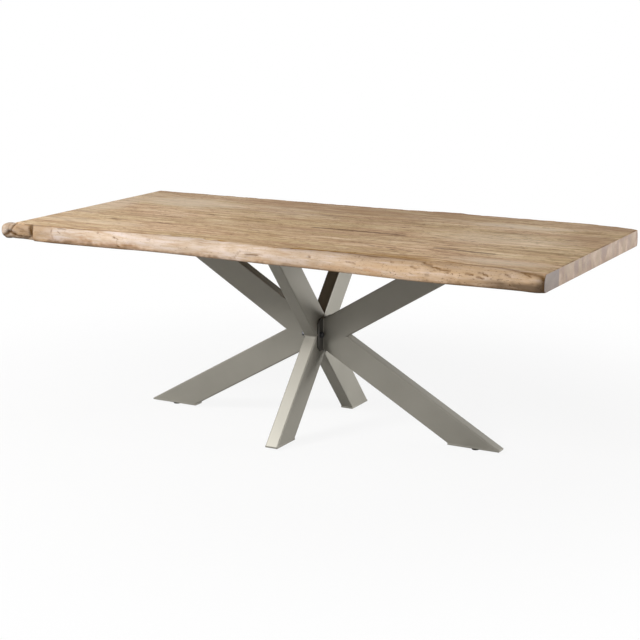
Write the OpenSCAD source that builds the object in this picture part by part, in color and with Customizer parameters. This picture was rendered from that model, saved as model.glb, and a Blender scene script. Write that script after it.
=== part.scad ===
// Dining table: live-edge hardwood top, glued up from boards, on a starburst base.
// The base is a welded cross frame in the middle with a K-shaped frame bolted to each side of it.
// Frame: +X along the length to the right, +Y to the back, +Z up.
// The origin is on the floor, under the middle of the whole outline.

/* [Table] */
// Height from the floor to the top surface
table_h = 762; // [700:1:820]
// Length of the tabletop between its two sawn ends
top_len = 2115; // [1800:5:2400]
// Overall width of the tabletop, measured over the widest bulges of both live edges
top_w = 1060; // [960:5:1160]
// Thickness of the tabletop
top_t = 60; // [40:1:80]
// Rounding of the sawn end edges
end_ease = 2; // [1:0.5:5]
// How far the base stands in front of the middle of the overall width
base_front = 42; // [0:1:80]

/* [Live edges] */
// How far the stump at the left end of the front edge stands out past the sawn end
stump_out = 53; // [30:1:70]
// Length of the stump along the edge, from its tip
stump_len = 146; // [110:1:180]
// Depth of the step between the stump and the rest of the edge
stump_step = 14; // [6:1:20]
// Spacing of the cross-sections that carry the live edges
edge_step = 26; // [20:1:40]

/* [Base frame] */
// Depth of the rectangular tube, seen from its wide side
tube_d = 100; // [96:1:120]
// Thickness of the tube of the cross frame
cross_w = 50; // [40:1:60]
// Thickness of the tube of the two side frames
side_w = 44; // [34:1:50]
// Wall of the tube
tube_wall = 2; // [1.5:0.5:4]
// Outer corner radius of the tube
tube_r = 4; // [3:0.5:6]
// Reach of the side frames at the floor, hub to the middle of the foot
side_foot = 653; // [560:1:740]
// Reach of the side frames under the top, hub to the middle of the arm
side_top = 591; // [500:1:680]
// Reach of the cross frame at the floor, hub to the middle of the foot
cross_foot = 301; // [260:1:340]
// Reach of the cross frame under the top, hub to the middle of the arm
cross_top = 292; // [260:1:330]
// How far the hub's middle, where the side frames' arms meet, lies above the cross frame's crossing
hub_rise = 4; // [0:1:8]

/* [Hub] */
// Thickness of the two flange plates
flange_t = 6; // [4:1:10]
// How far a flange plate stands past the arms, above and below them
flange_rim = 3; // [2:1:8]
// How far a flange plate stands past the hub washers, to the front and to the back
flange_side = 6; // [3:1:12]
// Corner cut of a flange plate
flange_cut = 16; // [8:1:20]
// Room for a spanner between the side frames' arms and the hub washers
hub_bolt_room = 7.3; // [5:0.1:9]
// Thread diameter of the hub bolts
hub_bolt_d = 12; // [10:1:14]
// Width across the flats of the hub bolt heads and nuts
hub_hex = 19; // [17:1:22]
// Wall of the spacer sleeves on the hub bolts, inside the cross frame
sleeve_wall = 3.5; // [2:0.5:4]

/* [Top fixing] */
// Thickness of the plates under the top
plate_t = 5; // [4:1:8]
// How far a top plate runs past the arm along the arm
plate_past = 22; // [18:1:30]
// Distance from the tube's side to the bolts beside it
bolt_off = 12; // [11:1:16]
// Distance from a top plate's long side to its bolts
plate_rim = 13; // [12:1:18]
// Corner radius of the top plates
plate_r = 6; // [3:1:10]
// Thread diameter of the bolts into the top
top_bolt_d = 8; // [6:1:10]
// Length of the threaded inserts in the wood
insert_len = 22; // [15:1:30]
// Wall of the threaded inserts
insert_wall = 2; // [1.5:0.5:3]

/* [Feet] */
// Thickness of the foot plates
foot_t = 6; // [4:1:8]
// Height of a glide below its foot, screwed right in
glide_h = 8; // [6:1:12]
// Diameter of a glide
glide_d = 28; // [22:1:34]
// Thread diameter of the glide studs
stud_d = 8; // [6:1:10]
// Length of the glide studs above the foot's underside
stud_len = 34; // [26:1:44]
// How far the glides stand inwards of the middle of each foot
glide_in = 9; // [0:1:16]

/* [Clearances] */
// Radial play of plain holes around bolts
hole_play = 0.5; // [0.3:0.1:1]
// Radial play between a stand-in thread and its nut
thread_play = 0.05; // [0.03:0.01:0.08]
// Gap between a glide and its foot when screwed right in
glide_gap = 0.2; // [0.1:0.1:0.5]

/* [Hidden] */
round_fn = 48;
corner_fn = 32;
// Longer than anything here, and how far a cutter runs past the face that it cuts
far = 3000;
past = 1;

// Widths of the boards as ripped, front to back; the set is trimmed to fill the top's width
board_w = [149, 203, 93, 188, 131, 144, 152];

// Front live edge, left to right: place as a share of the half length, then how far the
// upper arris, the belly and the lower arris lie behind the front line
front_knots = [
  [-1.00, 40, 24, 34], [-0.91, 30, 14, 22], [-0.83, 29, 10, 18], [-0.75, 30, 14, 22],
  [-0.57, 54, 25, 32], [-0.40, 75, 36, 44], [-0.16, 73, 32, 40], [0.02, 48, 24, 34],
  [0.22, 64, 22, 34], [0.43, 76, 10, 18], [0.62, 62, 0, 10], [0.80, 84, 8, 22],
  [0.92, 56, 12, 26], [1.00, 34, 2, 18]
];
// Back live edge, the same way, measured in front of the back line
back_knots = [
  [-1.00, 52, 38, 54], [-0.67, 48, 34, 50], [-0.35, 45, 30, 44], [0.07, 40, 27, 42],
  [0.22, 24, 13, 30], [0.29, 12, 0, 18], [0.32, 15, 3, 20], [0.345, 27, 14, 30],
  [0.47, 28, 15, 32], [0.70, 25, 12, 28], [0.85, 32, 18, 34], [0.965, 56, 42, 56],
  [1.00, 77, 66, 78]
];
// Stump: place from its tip as a share of its length, its size as a share of the top's
// thickness, and how far its middle lies behind the front line
stump_knots = [
  [0.00, 0.30, 40], [0.02, 0.58, 38], [0.06, 0.80, 37], [0.12, 0.94, 36], [0.20, 1.00, 36],
  [0.28, 0.97, 38], [0.33, 0.84, 42], [0.38, 0.93, 42], [0.55, 1.00, 46], [0.85, 0.97, 54],
  [1.00, 0.86, 60]
];
// Height of the belly in the thickness, and how square the edge is above and below it
belly_at = 0.45;
edge_pow_up = 1.7;
edge_pow_low = 3.5;
edge_seg = 5;
stump_seg = 16;
// How square the stump's section is, and how deep it is for its height
stump_pow = 2.6;
stump_deep = 1.12;

// The sawn ends, and the middle of the base below them
x_right = (top_len + stump_out) / 2;
x_left = x_right - top_len;
base_x = (x_left + x_right) / 2;
base_y = -base_front;
y_front = -top_w / 2;
y_back = top_w / 2;
under_z = table_h - top_t;
plate_z = under_z - plate_t;
foot_top = glide_h + foot_t;

// The joints between the boards, front to back
function sum_to(v, n) = n <= 0 ? 0 : v[n - 1] + sum_to(v, n - 1);
boards = len(board_w);
joint_y = [for (i = [0:boards]) y_front + top_w * sum_to(board_w, i) / sum_to(board_w, boards)];

// Cross frame: one straight bar from the front foot to the back of the top, two stubs across it
cross_a = atan((under_z - glide_h) / (cross_foot + cross_top));
cross_z = glide_h + cross_foot * tan(cross_a);
// Side frame: the arms' middle lines meet on the outer face of the flange plate
hub_z = cross_z + hub_rise;
side_face = cross_w / 2 + flange_t;
side_low_a = atan((hub_z - glide_h) / (side_foot - side_face));
side_up_a = atan((under_z - hub_z) / (side_top - side_face));

// Reach of a middle line at a height
function side_low_x(z) = side_face + (hub_z - z) / tan(side_low_a);
function side_up_x(z) = side_face + (z - hub_z) / tan(side_up_a);
function cross_low_y(z) = (cross_z - z) / tan(cross_a);
function cross_up_y(z) = (z - cross_z) / tan(cross_a);

// Where the glides and the bolts into the top stand, as seen from above the hub
side_glide = side_low_x(glide_h) - glide_in;
cross_glide = cross_low_y(glide_h) - glide_in;
glide_at = [[-side_glide, 0], [side_glide, 0], [0, -cross_glide], [0, cross_glide]];
side_plate_x = side_up_x(plate_z);
side_plate_l = tube_d / sin(side_up_a) + 2 * plate_past;
side_plate_w = side_w + 2 * (bolt_off + plate_rim);
cross_plate_y = cross_up_y(plate_z);
cross_plate_l = tube_d / sin(cross_a) + 2 * plate_past;
cross_plate_w = cross_w + 2 * (bolt_off + plate_rim);
side_bolt_x = side_plate_l / 2 - plate_rim - plate_past / 2;
side_bolt_y = side_w / 2 + bolt_off;
cross_bolt_x = cross_w / 2 + bolt_off;
cross_bolt_y = cross_plate_l / 2 - plate_rim - plate_past / 2;
top_bolt_at = concat(
  [for (s = [-1, 1], i = [-1, 1], j = [-1, 1])
    [s * side_plate_x + i * side_bolt_x, j * side_bolt_y]],
  [for (s = [-1, 1], i = [-1, 1], j = [-1, 1])
    [i * cross_bolt_x, s * cross_plate_y + j * cross_bolt_y]]
);

// Hub: both bolts pass through the cross frame's bar, and the flange plates cover them and the arms
hub_hole_r = hub_bolt_d / 2 + hole_play;
hub_washer_r = hub_bolt_d;
hub_bolt_y = side_w / 2 + hub_bolt_room + hub_washer_r;
hub_bolt_at = [-hub_bolt_y, hub_bolt_y];
flange_half_w = hub_bolt_y + hub_washer_r + flange_side;
flange_half_h = tube_d / 2 / cos(max(side_low_a, side_up_a)) + flange_rim;

// Fastener proportions
hex_share = 1.625;
hub_washer_t = 2.5;
hub_head_h = 7.5;
hub_nut_h = 10.8;
hub_tip = 3;
top_hole_r = top_bolt_d / 2 + hole_play;
top_washer_t = 1.6;
top_washer_r = top_bolt_d;
top_hex = hex_share * top_bolt_d;
top_head_h = 5.3;
top_tip_gap = 3;
insert_r = top_bolt_d / 2 + insert_wall;
nut_h = 6.5;
nut_hex = hex_share * stud_d;

// Pad of a glide: depth of the stud's seat, rounding at the floor, height of the rim and width
// of the neck as shares of the pad's
stud_seat = 3;
pad_ease = 1.5;
pad_rim = 0.55;
pad_neck = 0.62;

wood = "#c39a66";
paint = "#8d897e";
zinc = "#b9bcbf";
brass = "#b79a55";
nylon = "#2b2a28";

// Smooth curve through a knot table: row i holds the place, column c the value
function knot_row(k, u, i = 0) = (i >= len(k) - 2 || u < k[i + 1][0]) ? i : knot_row(k, u, i + 1);
function knot_slope(k, c, i) =
  let (a = max(i - 1, 0), b = min(i + 1, len(k) - 1)) (k[b][c] - k[a][c]) / (k[b][0] - k[a][0]);
function knot_value(k, c, u) =
  let (i = knot_row(k, u), w = k[i + 1][0] - k[i][0], t = max(0, min(1, (u - k[i][0]) / w)))
    (1 + 2 * t) * pow(1 - t, 2) * k[i][c] + t * pow(1 - t, 2) * w * knot_slope(k, c, i)
    + t * t * (3 - 2 * t) * k[i + 1][c] + t * t * (t - 1) * w * knot_slope(k, c, i + 1);

// Half-round profile of a live edge, top to bottom, as [depth behind the line, height]
function edge_profile(top_in, belly_in, low_in, z0, z1) =
  let (zb = z0 + belly_at * (z1 - z0))
    concat(
      [for (i = [0:edge_seg]) let (a = 90 * i / edge_seg)
        [top_in + (belly_in - top_in) * pow(sin(a), 2 / edge_pow_up),
         zb + (z1 - zb) * pow(cos(a), 2 / edge_pow_up)]],
      [for (i = [1:edge_seg]) let (a = 90 * i / edge_seg)
        [low_in + (belly_in - low_in) * pow(cos(a), 2 / edge_pow_low),
         zb - (zb - z0) * pow(sin(a), 2 / edge_pow_low)]]
    );

// Stations along the edge: the eased ends, then even steps
edge_stations = let (n = round((top_len - 2 * end_ease) / edge_step))
  concat([x_left], [for (i = [0:n]) x_left + end_ease + (top_len - 2 * end_ease) * i / n], [x_right]);
function half_share(x) = 2 * (x - base_x) / top_len;
// Ease of the end arrises: 1 at the sawn face, 0 behind the rounding
function at_end(x) = (x < x_left + end_ease / 2 || x > x_right - end_ease / 2) ? 1 : 0;

// Solid through a row of rings along +X, each with the same number of points,
// counted anticlockwise as seen from +X
module ring_solid(rings) {
  n = len(rings[0]);
  m = len(rings);
  points = [for (r = rings) each r];
  sides = [for (i = [0:m - 2], j = [0:n - 1])
    let (a = i * n + j, b = i * n + (j + 1) % n, c = a + n, d = b + n)
      each [[a, d, b], [a, c, d]]];
  caps = [[for (j = [0:n - 1]) j], [for (j = [0:n - 1]) m * n - 1 - j]];
  polyhedron(points = points, faces = concat(sides, caps));
}

// Board with one live edge: line is the y of the overall outline, joint the y of its glue joint
module live_board(knots, line, joint) {
  out = sign(line - joint);
  rings = [for (x = edge_stations)
    let (
      u = half_share(x),
      e = end_ease * at_end(x),
      step = (out < 0 && x < x_left + stump_len - stump_out) ? stump_step : 0,
      p = edge_profile(knot_value(knots, 1, u) + e, knot_value(knots, 2, u) + e + step,
                       knot_value(knots, 3, u) + e + step, under_z + e, table_h - e),
      ring = concat([[joint, under_z + e], [joint, table_h - e]], [for (q = p) [line - out * q[0], q[1]]])
    )
      [for (q = out < 0 ? ring : [for (i = [len(ring) - 1:-1:0]) ring[i]]) [x, q[0], q[1]]]];
  ring_solid(rings);
}

// Rounded stump at the left end of the front edge
module stump() {
  function bow(v) = sign(v) * pow(abs(v), 2 / stump_pow);
  rings = [for (k = stump_knots)
    let (r = k[1] * top_t / 2)
      [for (j = [0:stump_seg - 1]) let (a = 360 * (j + 0.5) / stump_seg)
        [x_left - stump_out + k[0] * stump_len,
         y_front + k[2] + r * stump_deep * bow(cos(a)),
         under_z + top_t / 2 + r * bow(sin(a))]]];
  ring_solid(rings);
}

// Plain board between two glue joints, with its end arrises rounded
module plain_board(y0, y1) {
  translate([base_x, y1, under_z + top_t / 2])
    rotate([90, 0, 0])
      linear_extrude(height = y1 - y0)
        rounded_rect(top_len, top_t, end_ease);
}

// One board of the top, with the holes for the threaded inserts that fall into it
module board(i) {
  y0 = joint_y[i];
  y1 = joint_y[i + 1];
  reach = insert_r + thread_play;
  color(wood)
    difference() {
      if (i == 0) {
        union() {
          live_board(front_knots, y_front, y1);
          stump();
        }
      } else if (i == boards - 1) {
        live_board(back_knots, y_back, y0);
      } else {
        plain_board(y0, y1);
      }
      for (p = top_bolt_at)
        if (p.y + base_y > y0 - reach && p.y + base_y < y1 + reach)
          translate([p.x + base_x, p.y + base_y, under_z - past])
            cylinder(r = reach, h = insert_len + top_tip_gap + past, $fn = round_fn);
    }
}

module rounded_rect(w, h, r) {
  square([w - 2 * r, h], center = true);
  square([w, h - 2 * r], center = true);
  for (i = [-1, 1], j = [-1, 1])
    translate([i * (w / 2 - r), j * (h / 2 - r)])
      circle(r = r, $fn = corner_fn);
}

// Rectangular tube along a line through the point [u, z] at an angle above the level
module tube(u, z, angle, width) {
  translate([u, 0, z])
    rotate([0, -angle, 0])
      translate([-far / 2, 0, 0])
        rotate([90, 0, 90])
          linear_extrude(height = far)
            difference() {
              rounded_rect(width, tube_d, tube_r);
              rounded_rect(width - 2 * tube_wall, tube_d - 2 * tube_wall, tube_r - tube_wall);
            }
}

// Everything between two heights, on the side u > u0
module slab(z0, z1, u0 = -far / 2) {
  translate([u0, -far / 2, z0])
    cube([far, far, z1 - z0]);
}

module on_base() {
  translate([base_x, base_y, 0])
    children();
}

// Arms of a side frame, mitred on each other level with the hub
module side_lower(side) {
  color(paint) on_base() mirror([side < 0 ? 1 : 0, 0, 0])
    intersection() {
      tube(side_face, hub_z, -side_low_a, side_w);
      slab(foot_top, hub_z, side_face);
    }
}

module side_upper(side) {
  color(paint) on_base() mirror([side < 0 ? 1 : 0, 0, 0])
    intersection() {
      tube(side_face, hub_z, side_up_a, side_w);
      slab(hub_z, plate_z, side_face);
    }
}

// Straight bar of the cross frame, drilled for the hub bolts
module cross_bar() {
  color(paint) on_base()
    difference() {
      rotate([0, 0, 90])
        intersection() {
          tube(0, cross_z, cross_a, cross_w);
          slab(foot_top, plate_z);
        }
      for (y = hub_bolt_at)
        translate([0, y, hub_z]) rotate([0, 90, 0])
          cylinder(r = hub_hole_r, h = cross_w + 2 * past, center = true, $fn = round_fn);
    }
}

// Stub of the cross frame: butts on the bar's upper side (front stub) or lower side (back stub)
module cross_stub(front) {
  color(paint) on_base() rotate([0, 0, 90])
    intersection() {
      tube(0, cross_z, -cross_a, cross_w);
      slab(foot_top, plate_z);
      translate([0, 0, cross_z]) rotate([0, -cross_a, 0])
        translate([-far / 2, -far / 2, front ? tube_d / 2 : -far - tube_d / 2])
          cube(far);
    }
}

// Flange plate with cut corners and two bolt holes
module hub_plate(side) {
  a = flange_half_w;
  b = flange_half_h;
  c = flange_cut;
  color(paint) on_base() translate([side > 0 ? cross_w / 2 : -side_face, 0, hub_z])
    rotate([90, 0, 90])
      linear_extrude(height = flange_t)
        difference() {
          polygon([[a, b - c], [a - c, b], [c - a, b], [-a, b - c],
                   [-a, c - b], [c - a, -b], [a - c, -b], [a, c - b]]);
          for (y = hub_bolt_at)
            translate([y, 0]) circle(r = hub_hole_r, $fn = round_fn);
        }
}

module hex_prism(flats, h) {
  cylinder(d = flats / cos(30), h = h, $fn = 6);
}

module washer(r, hole_r, t) {
  difference() {
    cylinder(r = r, h = t, $fn = round_fn);
    translate([0, 0, -past]) cylinder(r = hole_r, h = t + 2 * past, $fn = round_fn);
  }
}

module hub_bolts() {
  seat = side_face + hub_washer_t;
  shank = 2 * seat + hub_nut_h + hub_tip;
  color(zinc) on_base()
    for (y = hub_bolt_at)
      translate([seat, y, hub_z]) {
        rotate([0, 90, 0]) hex_prism(hub_hex, hub_head_h);
        rotate([0, -90, 0]) cylinder(d = hub_bolt_d, h = shank, $fn = round_fn);
      }
}

module hub_washers() {
  color(zinc) on_base()
    for (y = hub_bolt_at, s = [-1, 1])
      translate([s * side_face, y, hub_z]) rotate([0, 90 * s, 0])
        washer(hub_washer_r, hub_hole_r, hub_washer_t);
}

module hub_nuts() {
  color(zinc) on_base()
    for (y = hub_bolt_at)
      translate([-side_face - hub_washer_t, y, hub_z]) rotate([0, -90, 0])
        difference() {
          hex_prism(hub_hex, hub_nut_h);
          translate([0, 0, -past])
            cylinder(r = hub_bolt_d / 2 + thread_play, h = hub_nut_h + 2 * past, $fn = round_fn);
        }
}

// Spacers that keep the hub bolts from crushing the cross frame's bar
module hub_sleeves() {
  inner = cross_w - 2 * tube_wall;
  color(zinc) on_base()
    for (y = hub_bolt_at)
      translate([-inner / 2, y, hub_z]) rotate([0, 90, 0])
        washer(hub_hole_r + sleeve_wall, hub_hole_r, inner);
}

// Plate welded on the top end of an arm, long along the arm
module top_plate(at, l, w, bolt_l, bolt_w) {
  color(paint) on_base() translate([0, 0, plate_z])
    linear_extrude(height = plate_t)
      translate(at)
        difference() {
          rounded_rect(l, w, plate_r);
          for (i = [-1, 1], j = [-1, 1])
            translate([i * bolt_l, j * bolt_w]) circle(r = top_hole_r, $fn = round_fn);
        }
}

module side_top_plate(side) {
  top_plate([side * side_plate_x, 0], side_plate_l, side_plate_w, side_bolt_x, side_bolt_y);
}

module cross_top_plate(side) {
  top_plate([0, side * cross_plate_y], cross_plate_w, cross_plate_l, cross_bolt_x, cross_bolt_y);
}

module top_bolts() {
  seat = plate_z - top_washer_t;
  color(zinc) on_base()
    for (p = top_bolt_at)
      translate([p.x, p.y, seat]) {
        mirror([0, 0, 1]) hex_prism(top_hex, top_head_h);
        cylinder(d = top_bolt_d, h = under_z - seat + insert_len - top_tip_gap, $fn = round_fn);
      }
}

module top_washers() {
  color(zinc) on_base()
    for (p = top_bolt_at)
      translate([p.x, p.y, plate_z - top_washer_t])
        washer(top_washer_r, top_hole_r, top_washer_t);
}

module top_inserts() {
  color(brass) on_base()
    for (p = top_bolt_at)
      translate([p.x, p.y, under_z])
        washer(insert_r, top_bolt_d / 2 + thread_play, insert_len);
}

// Plate that closes the cut end of a foot, with a hole for the glide stud
module foot_plate(at, l, w, hole) {
  color(paint) on_base() translate([0, 0, glide_h])
    linear_extrude(height = foot_t)
      difference() {
        translate(at) square([l, w], center = true);
        translate(hole) circle(r = stud_d / 2 + hole_play, $fn = round_fn);
      }
}

module side_foot_plate(side) {
  foot_plate([side * side_low_x(foot_top), 0], tube_d / sin(side_low_a), side_w, [side * side_glide, 0]);
}

module cross_foot_plate(side) {
  foot_plate([0, side * cross_low_y(foot_top)], cross_w, tube_d / sin(cross_a), [0, side * cross_glide]);
}

// Nuts welded inside the feet for the glide studs
module foot_nuts() {
  color(zinc) on_base()
    for (p = glide_at)
      translate([p.x, p.y, foot_top])
        difference() {
          hex_prism(nut_hex, nut_h);
          translate([0, 0, -past])
            cylinder(r = stud_d / 2 + thread_play, h = nut_h + 2 * past, $fn = round_fn);
        }
}

// Moulded foot of a glide, with a blind seat for the stud
module glide_pad(i) {
  r = glide_d / 2;
  h = glide_h - glide_gap;
  color(nylon) on_base() translate(glide_at[i])
    difference() {
      rotate_extrude($fn = round_fn)
        polygon([[0, 0], [r - pad_ease, 0], [r, pad_ease], [r, h * pad_rim], [r * pad_neck, h], [0, h]]);
      translate([0, 0, stud_seat]) cylinder(d = stud_d, h = h, $fn = round_fn);
    }
}

module glide_stud(i) {
  color(zinc) on_base() translate([glide_at[i].x, glide_at[i].y, stud_seat])
    cylinder(d = stud_d, h = glide_h + stud_len - stud_seat, $fn = round_fn);
}

board(0);  // top_board_1
board(1);  // top_board_2
board(2);  // top_board_3
board(3);  // top_board_4
board(4);  // top_board_5
board(5);  // top_board_6
board(6);  // top_board_7
side_lower(-1);  // arm_left_lower
side_upper(-1);  // arm_left_upper
side_lower(1);  // arm_right_lower
side_upper(1);  // arm_right_upper
cross_bar();
cross_stub(true);  // cross_stub_front
cross_stub(false);  // cross_stub_back
hub_plate(-1);  // hub_plate_left
hub_plate(1);  // hub_plate_right
hub_bolts();
hub_washers();
hub_nuts();
hub_sleeves();
side_top_plate(-1);  // top_plate_left
side_top_plate(1);  // top_plate_right
cross_top_plate(-1);  // top_plate_front
cross_top_plate(1);  // top_plate_back
top_bolts();
top_washers();
top_inserts();
side_foot_plate(-1);  // foot_plate_left
side_foot_plate(1);  // foot_plate_right
cross_foot_plate(-1);  // foot_plate_front
cross_foot_plate(1);  // foot_plate_back
foot_nuts();
glide_pad(0);  // glide_pad_left
glide_pad(1);  // glide_pad_right
glide_pad(2);  // glide_pad_front
glide_pad(3);  // glide_pad_back
glide_stud(0);  // glide_stud_left
glide_stud(1);  // glide_stud_right
glide_stud(2);  // glide_stud_front
glide_stud(3);  // glide_stud_back
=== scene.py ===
"""Dining table: a live-edge hardwood top, glued up from seven boards, on a starburst base of steel tube.

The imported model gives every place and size. This script dresses it in the same frame, in metres:
+X along the length to the right, +Y to the back, +Z up, with the origin on the floor.
"""

import logging
import math
from collections.abc import Sequence
from dataclasses import dataclass, field
from enum import Enum

import bmesh
import bpy
import numpy as np
from mathutils import Matrix, Vector


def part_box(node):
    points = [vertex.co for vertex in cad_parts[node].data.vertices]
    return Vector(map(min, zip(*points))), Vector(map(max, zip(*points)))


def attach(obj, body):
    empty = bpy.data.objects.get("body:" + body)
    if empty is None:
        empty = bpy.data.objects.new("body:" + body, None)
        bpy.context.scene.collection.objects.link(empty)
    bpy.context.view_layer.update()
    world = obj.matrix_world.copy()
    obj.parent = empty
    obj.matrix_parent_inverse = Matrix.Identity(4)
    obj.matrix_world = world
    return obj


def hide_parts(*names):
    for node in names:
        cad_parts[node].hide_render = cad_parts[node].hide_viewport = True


LOG = logging.getLogger("dining_table")
MM = 0.001
TABLE = "table"

# These shuffle the corners of the noise's lattice
SHUFFLE_AXES = np.array([127.1, 311.7, 74.7])
SHUFFLE_SEED = 17.23
SHUFFLE_SIZE = 43758.5453

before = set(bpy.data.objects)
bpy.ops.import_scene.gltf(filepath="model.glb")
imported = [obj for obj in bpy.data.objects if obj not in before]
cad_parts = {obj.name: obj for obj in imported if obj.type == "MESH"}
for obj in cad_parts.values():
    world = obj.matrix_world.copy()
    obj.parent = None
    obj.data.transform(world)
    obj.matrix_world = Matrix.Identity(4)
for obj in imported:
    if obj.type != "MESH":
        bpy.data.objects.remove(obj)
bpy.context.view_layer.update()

Socket = bpy.types.NodeSocket
Colour = tuple[float, float, float, float]
Stops = tuple[tuple[float, str], ...]
Bands = tuple[tuple[str, str, float], ...]
Rows = Sequence[Sequence[float]]
Span = tuple[float, float]
Triple = tuple[float, float, float]
Ripples = tuple[tuple[Triple, int, float], ...]


class Side(Enum):
    """The four arms of the star, with the way each points from the hub."""

    LEFT = ("left", -1, 0)
    RIGHT = ("right", 1, 0)
    FRONT = ("front", 0, -1)
    BACK = ("back", 0, 1)

    @property
    def word(self) -> str:
        """The side's name as the nodes and bodies carry it."""
        return self.value[0]

    @property
    def way(self) -> Vector:
        """Unit vector from the hub towards the side."""
        return Vector((self.value[1], self.value[2], 0))


class Slot(Enum):
    """The record's material slots."""

    WOOD = "wood"
    PAINT = "paint"
    ZINC = "zinc"
    BRASS = "brass"
    NYLON = "nylon"


def linear(hex_colour: str) -> Colour:
    """Turns an sRGB colour into the linear one that the nodes take.

    Args:
        hex_colour: The colour as #rrggbb.

    Returns:
        Red, green, blue and alpha, linear.
    """
    parts = [int(hex_colour[i:i + 2], 16) / 255 for i in (1, 3, 5)]
    red, green, blue = (c / 12.92 if c <= 0.04045 else ((c + 0.055) / 1.055) ** 2.4 for c in parts)
    return red, green, blue, 1.0


def feed(tree: bpy.types.NodeTree, node: bpy.types.Node, inputs: dict) -> None:
    """Sets or links inputs of a node.

    Args:
        tree: The node tree.
        node: The node.
        inputs: Values or sockets by input name or number.
    """
    for key, value in inputs.items():
        if isinstance(value, Socket):
            tree.links.new(value, node.inputs[key])
        else:
            node.inputs[key].default_value = value


def add_node(tree: bpy.types.NodeTree, kind: str, settings: dict | None = None, inputs: dict | None = None,
             stops: Stops = ()) -> bpy.types.Node:
    """Adds one node with its settings, values and links.

    Args:
        tree: The node tree that gets the node.
        kind: The node's type name.
        settings: The node's own properties by name.
        inputs: Values or sockets by input name or number.
        stops: Places and colours, for a colour ramp.

    Returns:
        The new node.
    """
    node = tree.nodes.new(kind)
    for name, value in (settings or {}).items():
        setattr(node, name, value)
    feed(tree, node, inputs or {})
    for i, (place, hex_colour) in enumerate(stops):
        elements = node.color_ramp.elements
        stop = elements[i] if i < 2 else elements.new(place)
        stop.position = place
        stop.color = linear(hex_colour)
    return node


class Net:
    """A node tree, with short ways to add the nodes that the finishes and the tools share."""

    def __init__(self, tree: bpy.types.NodeTree) -> None:
        """Takes the tree.

        Args:
            tree: The node tree that gets the nodes.
        """
        self.tree = tree

    def add(self, kind: str, settings: dict | None = None, inputs: dict | None = None,
            stops: Stops = ()) -> bpy.types.Node:
        """Adds one node to this tree; add_node tells what it takes."""
        return add_node(self.tree, kind, settings, inputs, stops)

    def math(self, operation: str, *values: Socket | float, clamp: bool = False) -> Socket:
        """Calculates with numbers.

        Args:
            operation: What the node does.
            values: Its inputs in order.
            clamp: Whether the result is held between 0 and 1.

        Returns:
            The result.
        """
        settings = {"operation": operation, "use_clamp": clamp}
        return self.add("ShaderNodeMath", settings, dict(enumerate(values))).outputs[0]

    def vector(self, operation: str, *values: Socket | Triple) -> Socket:
        """Calculates with vectors.

        Args:
            operation: What the node does.
            values: Its inputs in order.

        Returns:
            The result, a number for LENGTH and a vector for all others.
        """
        node = self.add("ShaderNodeVectorMath", {"operation": operation}, dict(enumerate(values)))
        return node.outputs["Value" if operation == "LENGTH" else "Vector"]

    def noise(self, place: Socket, scale: Socket | float = 1.0, detail: float = 2.0, roughness: float = 0.5,
              seed: Socket | None = None) -> Socket:
        """Adds soft noise.

        Args:
            place: Where it is read.
            scale: Bumps in one unit of the place.
            detail: How many finer layers lie over it.
            roughness: How strong the finer layers are.
            seed: Picks the pattern, for noise in four dimensions.

        Returns:
            Its value between 0 and 1. The socket's node has it as a colour too.
        """
        inputs = {"Vector": place, "Scale": scale, "Detail": detail, "Roughness": roughness}
        if seed is None:
            return self.add("ShaderNodeTexNoise", None, inputs).outputs[0]
        return self.add("ShaderNodeTexNoise", {"noise_dimensions": "4D"}, inputs | {"W": seed}).outputs[0]

    def remap(self, value: Socket, low: float, high: float, to_low: float = 0.0, to_high: float = 1.0,
              shape: str = "LINEAR") -> Socket:
        """Maps one range of values onto another and clamps it there.

        Args:
            value: The value.
            low: Where the range begins; it may be above its end.
            high: Where it ends.
            to_low: What the beginning becomes.
            to_high: What the end becomes.
            shape: How it runs in between, LINEAR or SMOOTHSTEP.

        Returns:
            The mapped value.
        """
        inputs = {"Value": value, "From Min": low, "From Max": high, "To Min": to_low, "To Max": to_high}
        return self.add("ShaderNodeMapRange", {"interpolation_type": shape}, inputs).outputs[0]


@dataclass(frozen=True)
class Streaks:
    """One layer of stretched noise: fibres, figure or brush lines, as real lengths in metres."""

    length: float
    width: float
    weight: float
    detail: float = 3.0


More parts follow.
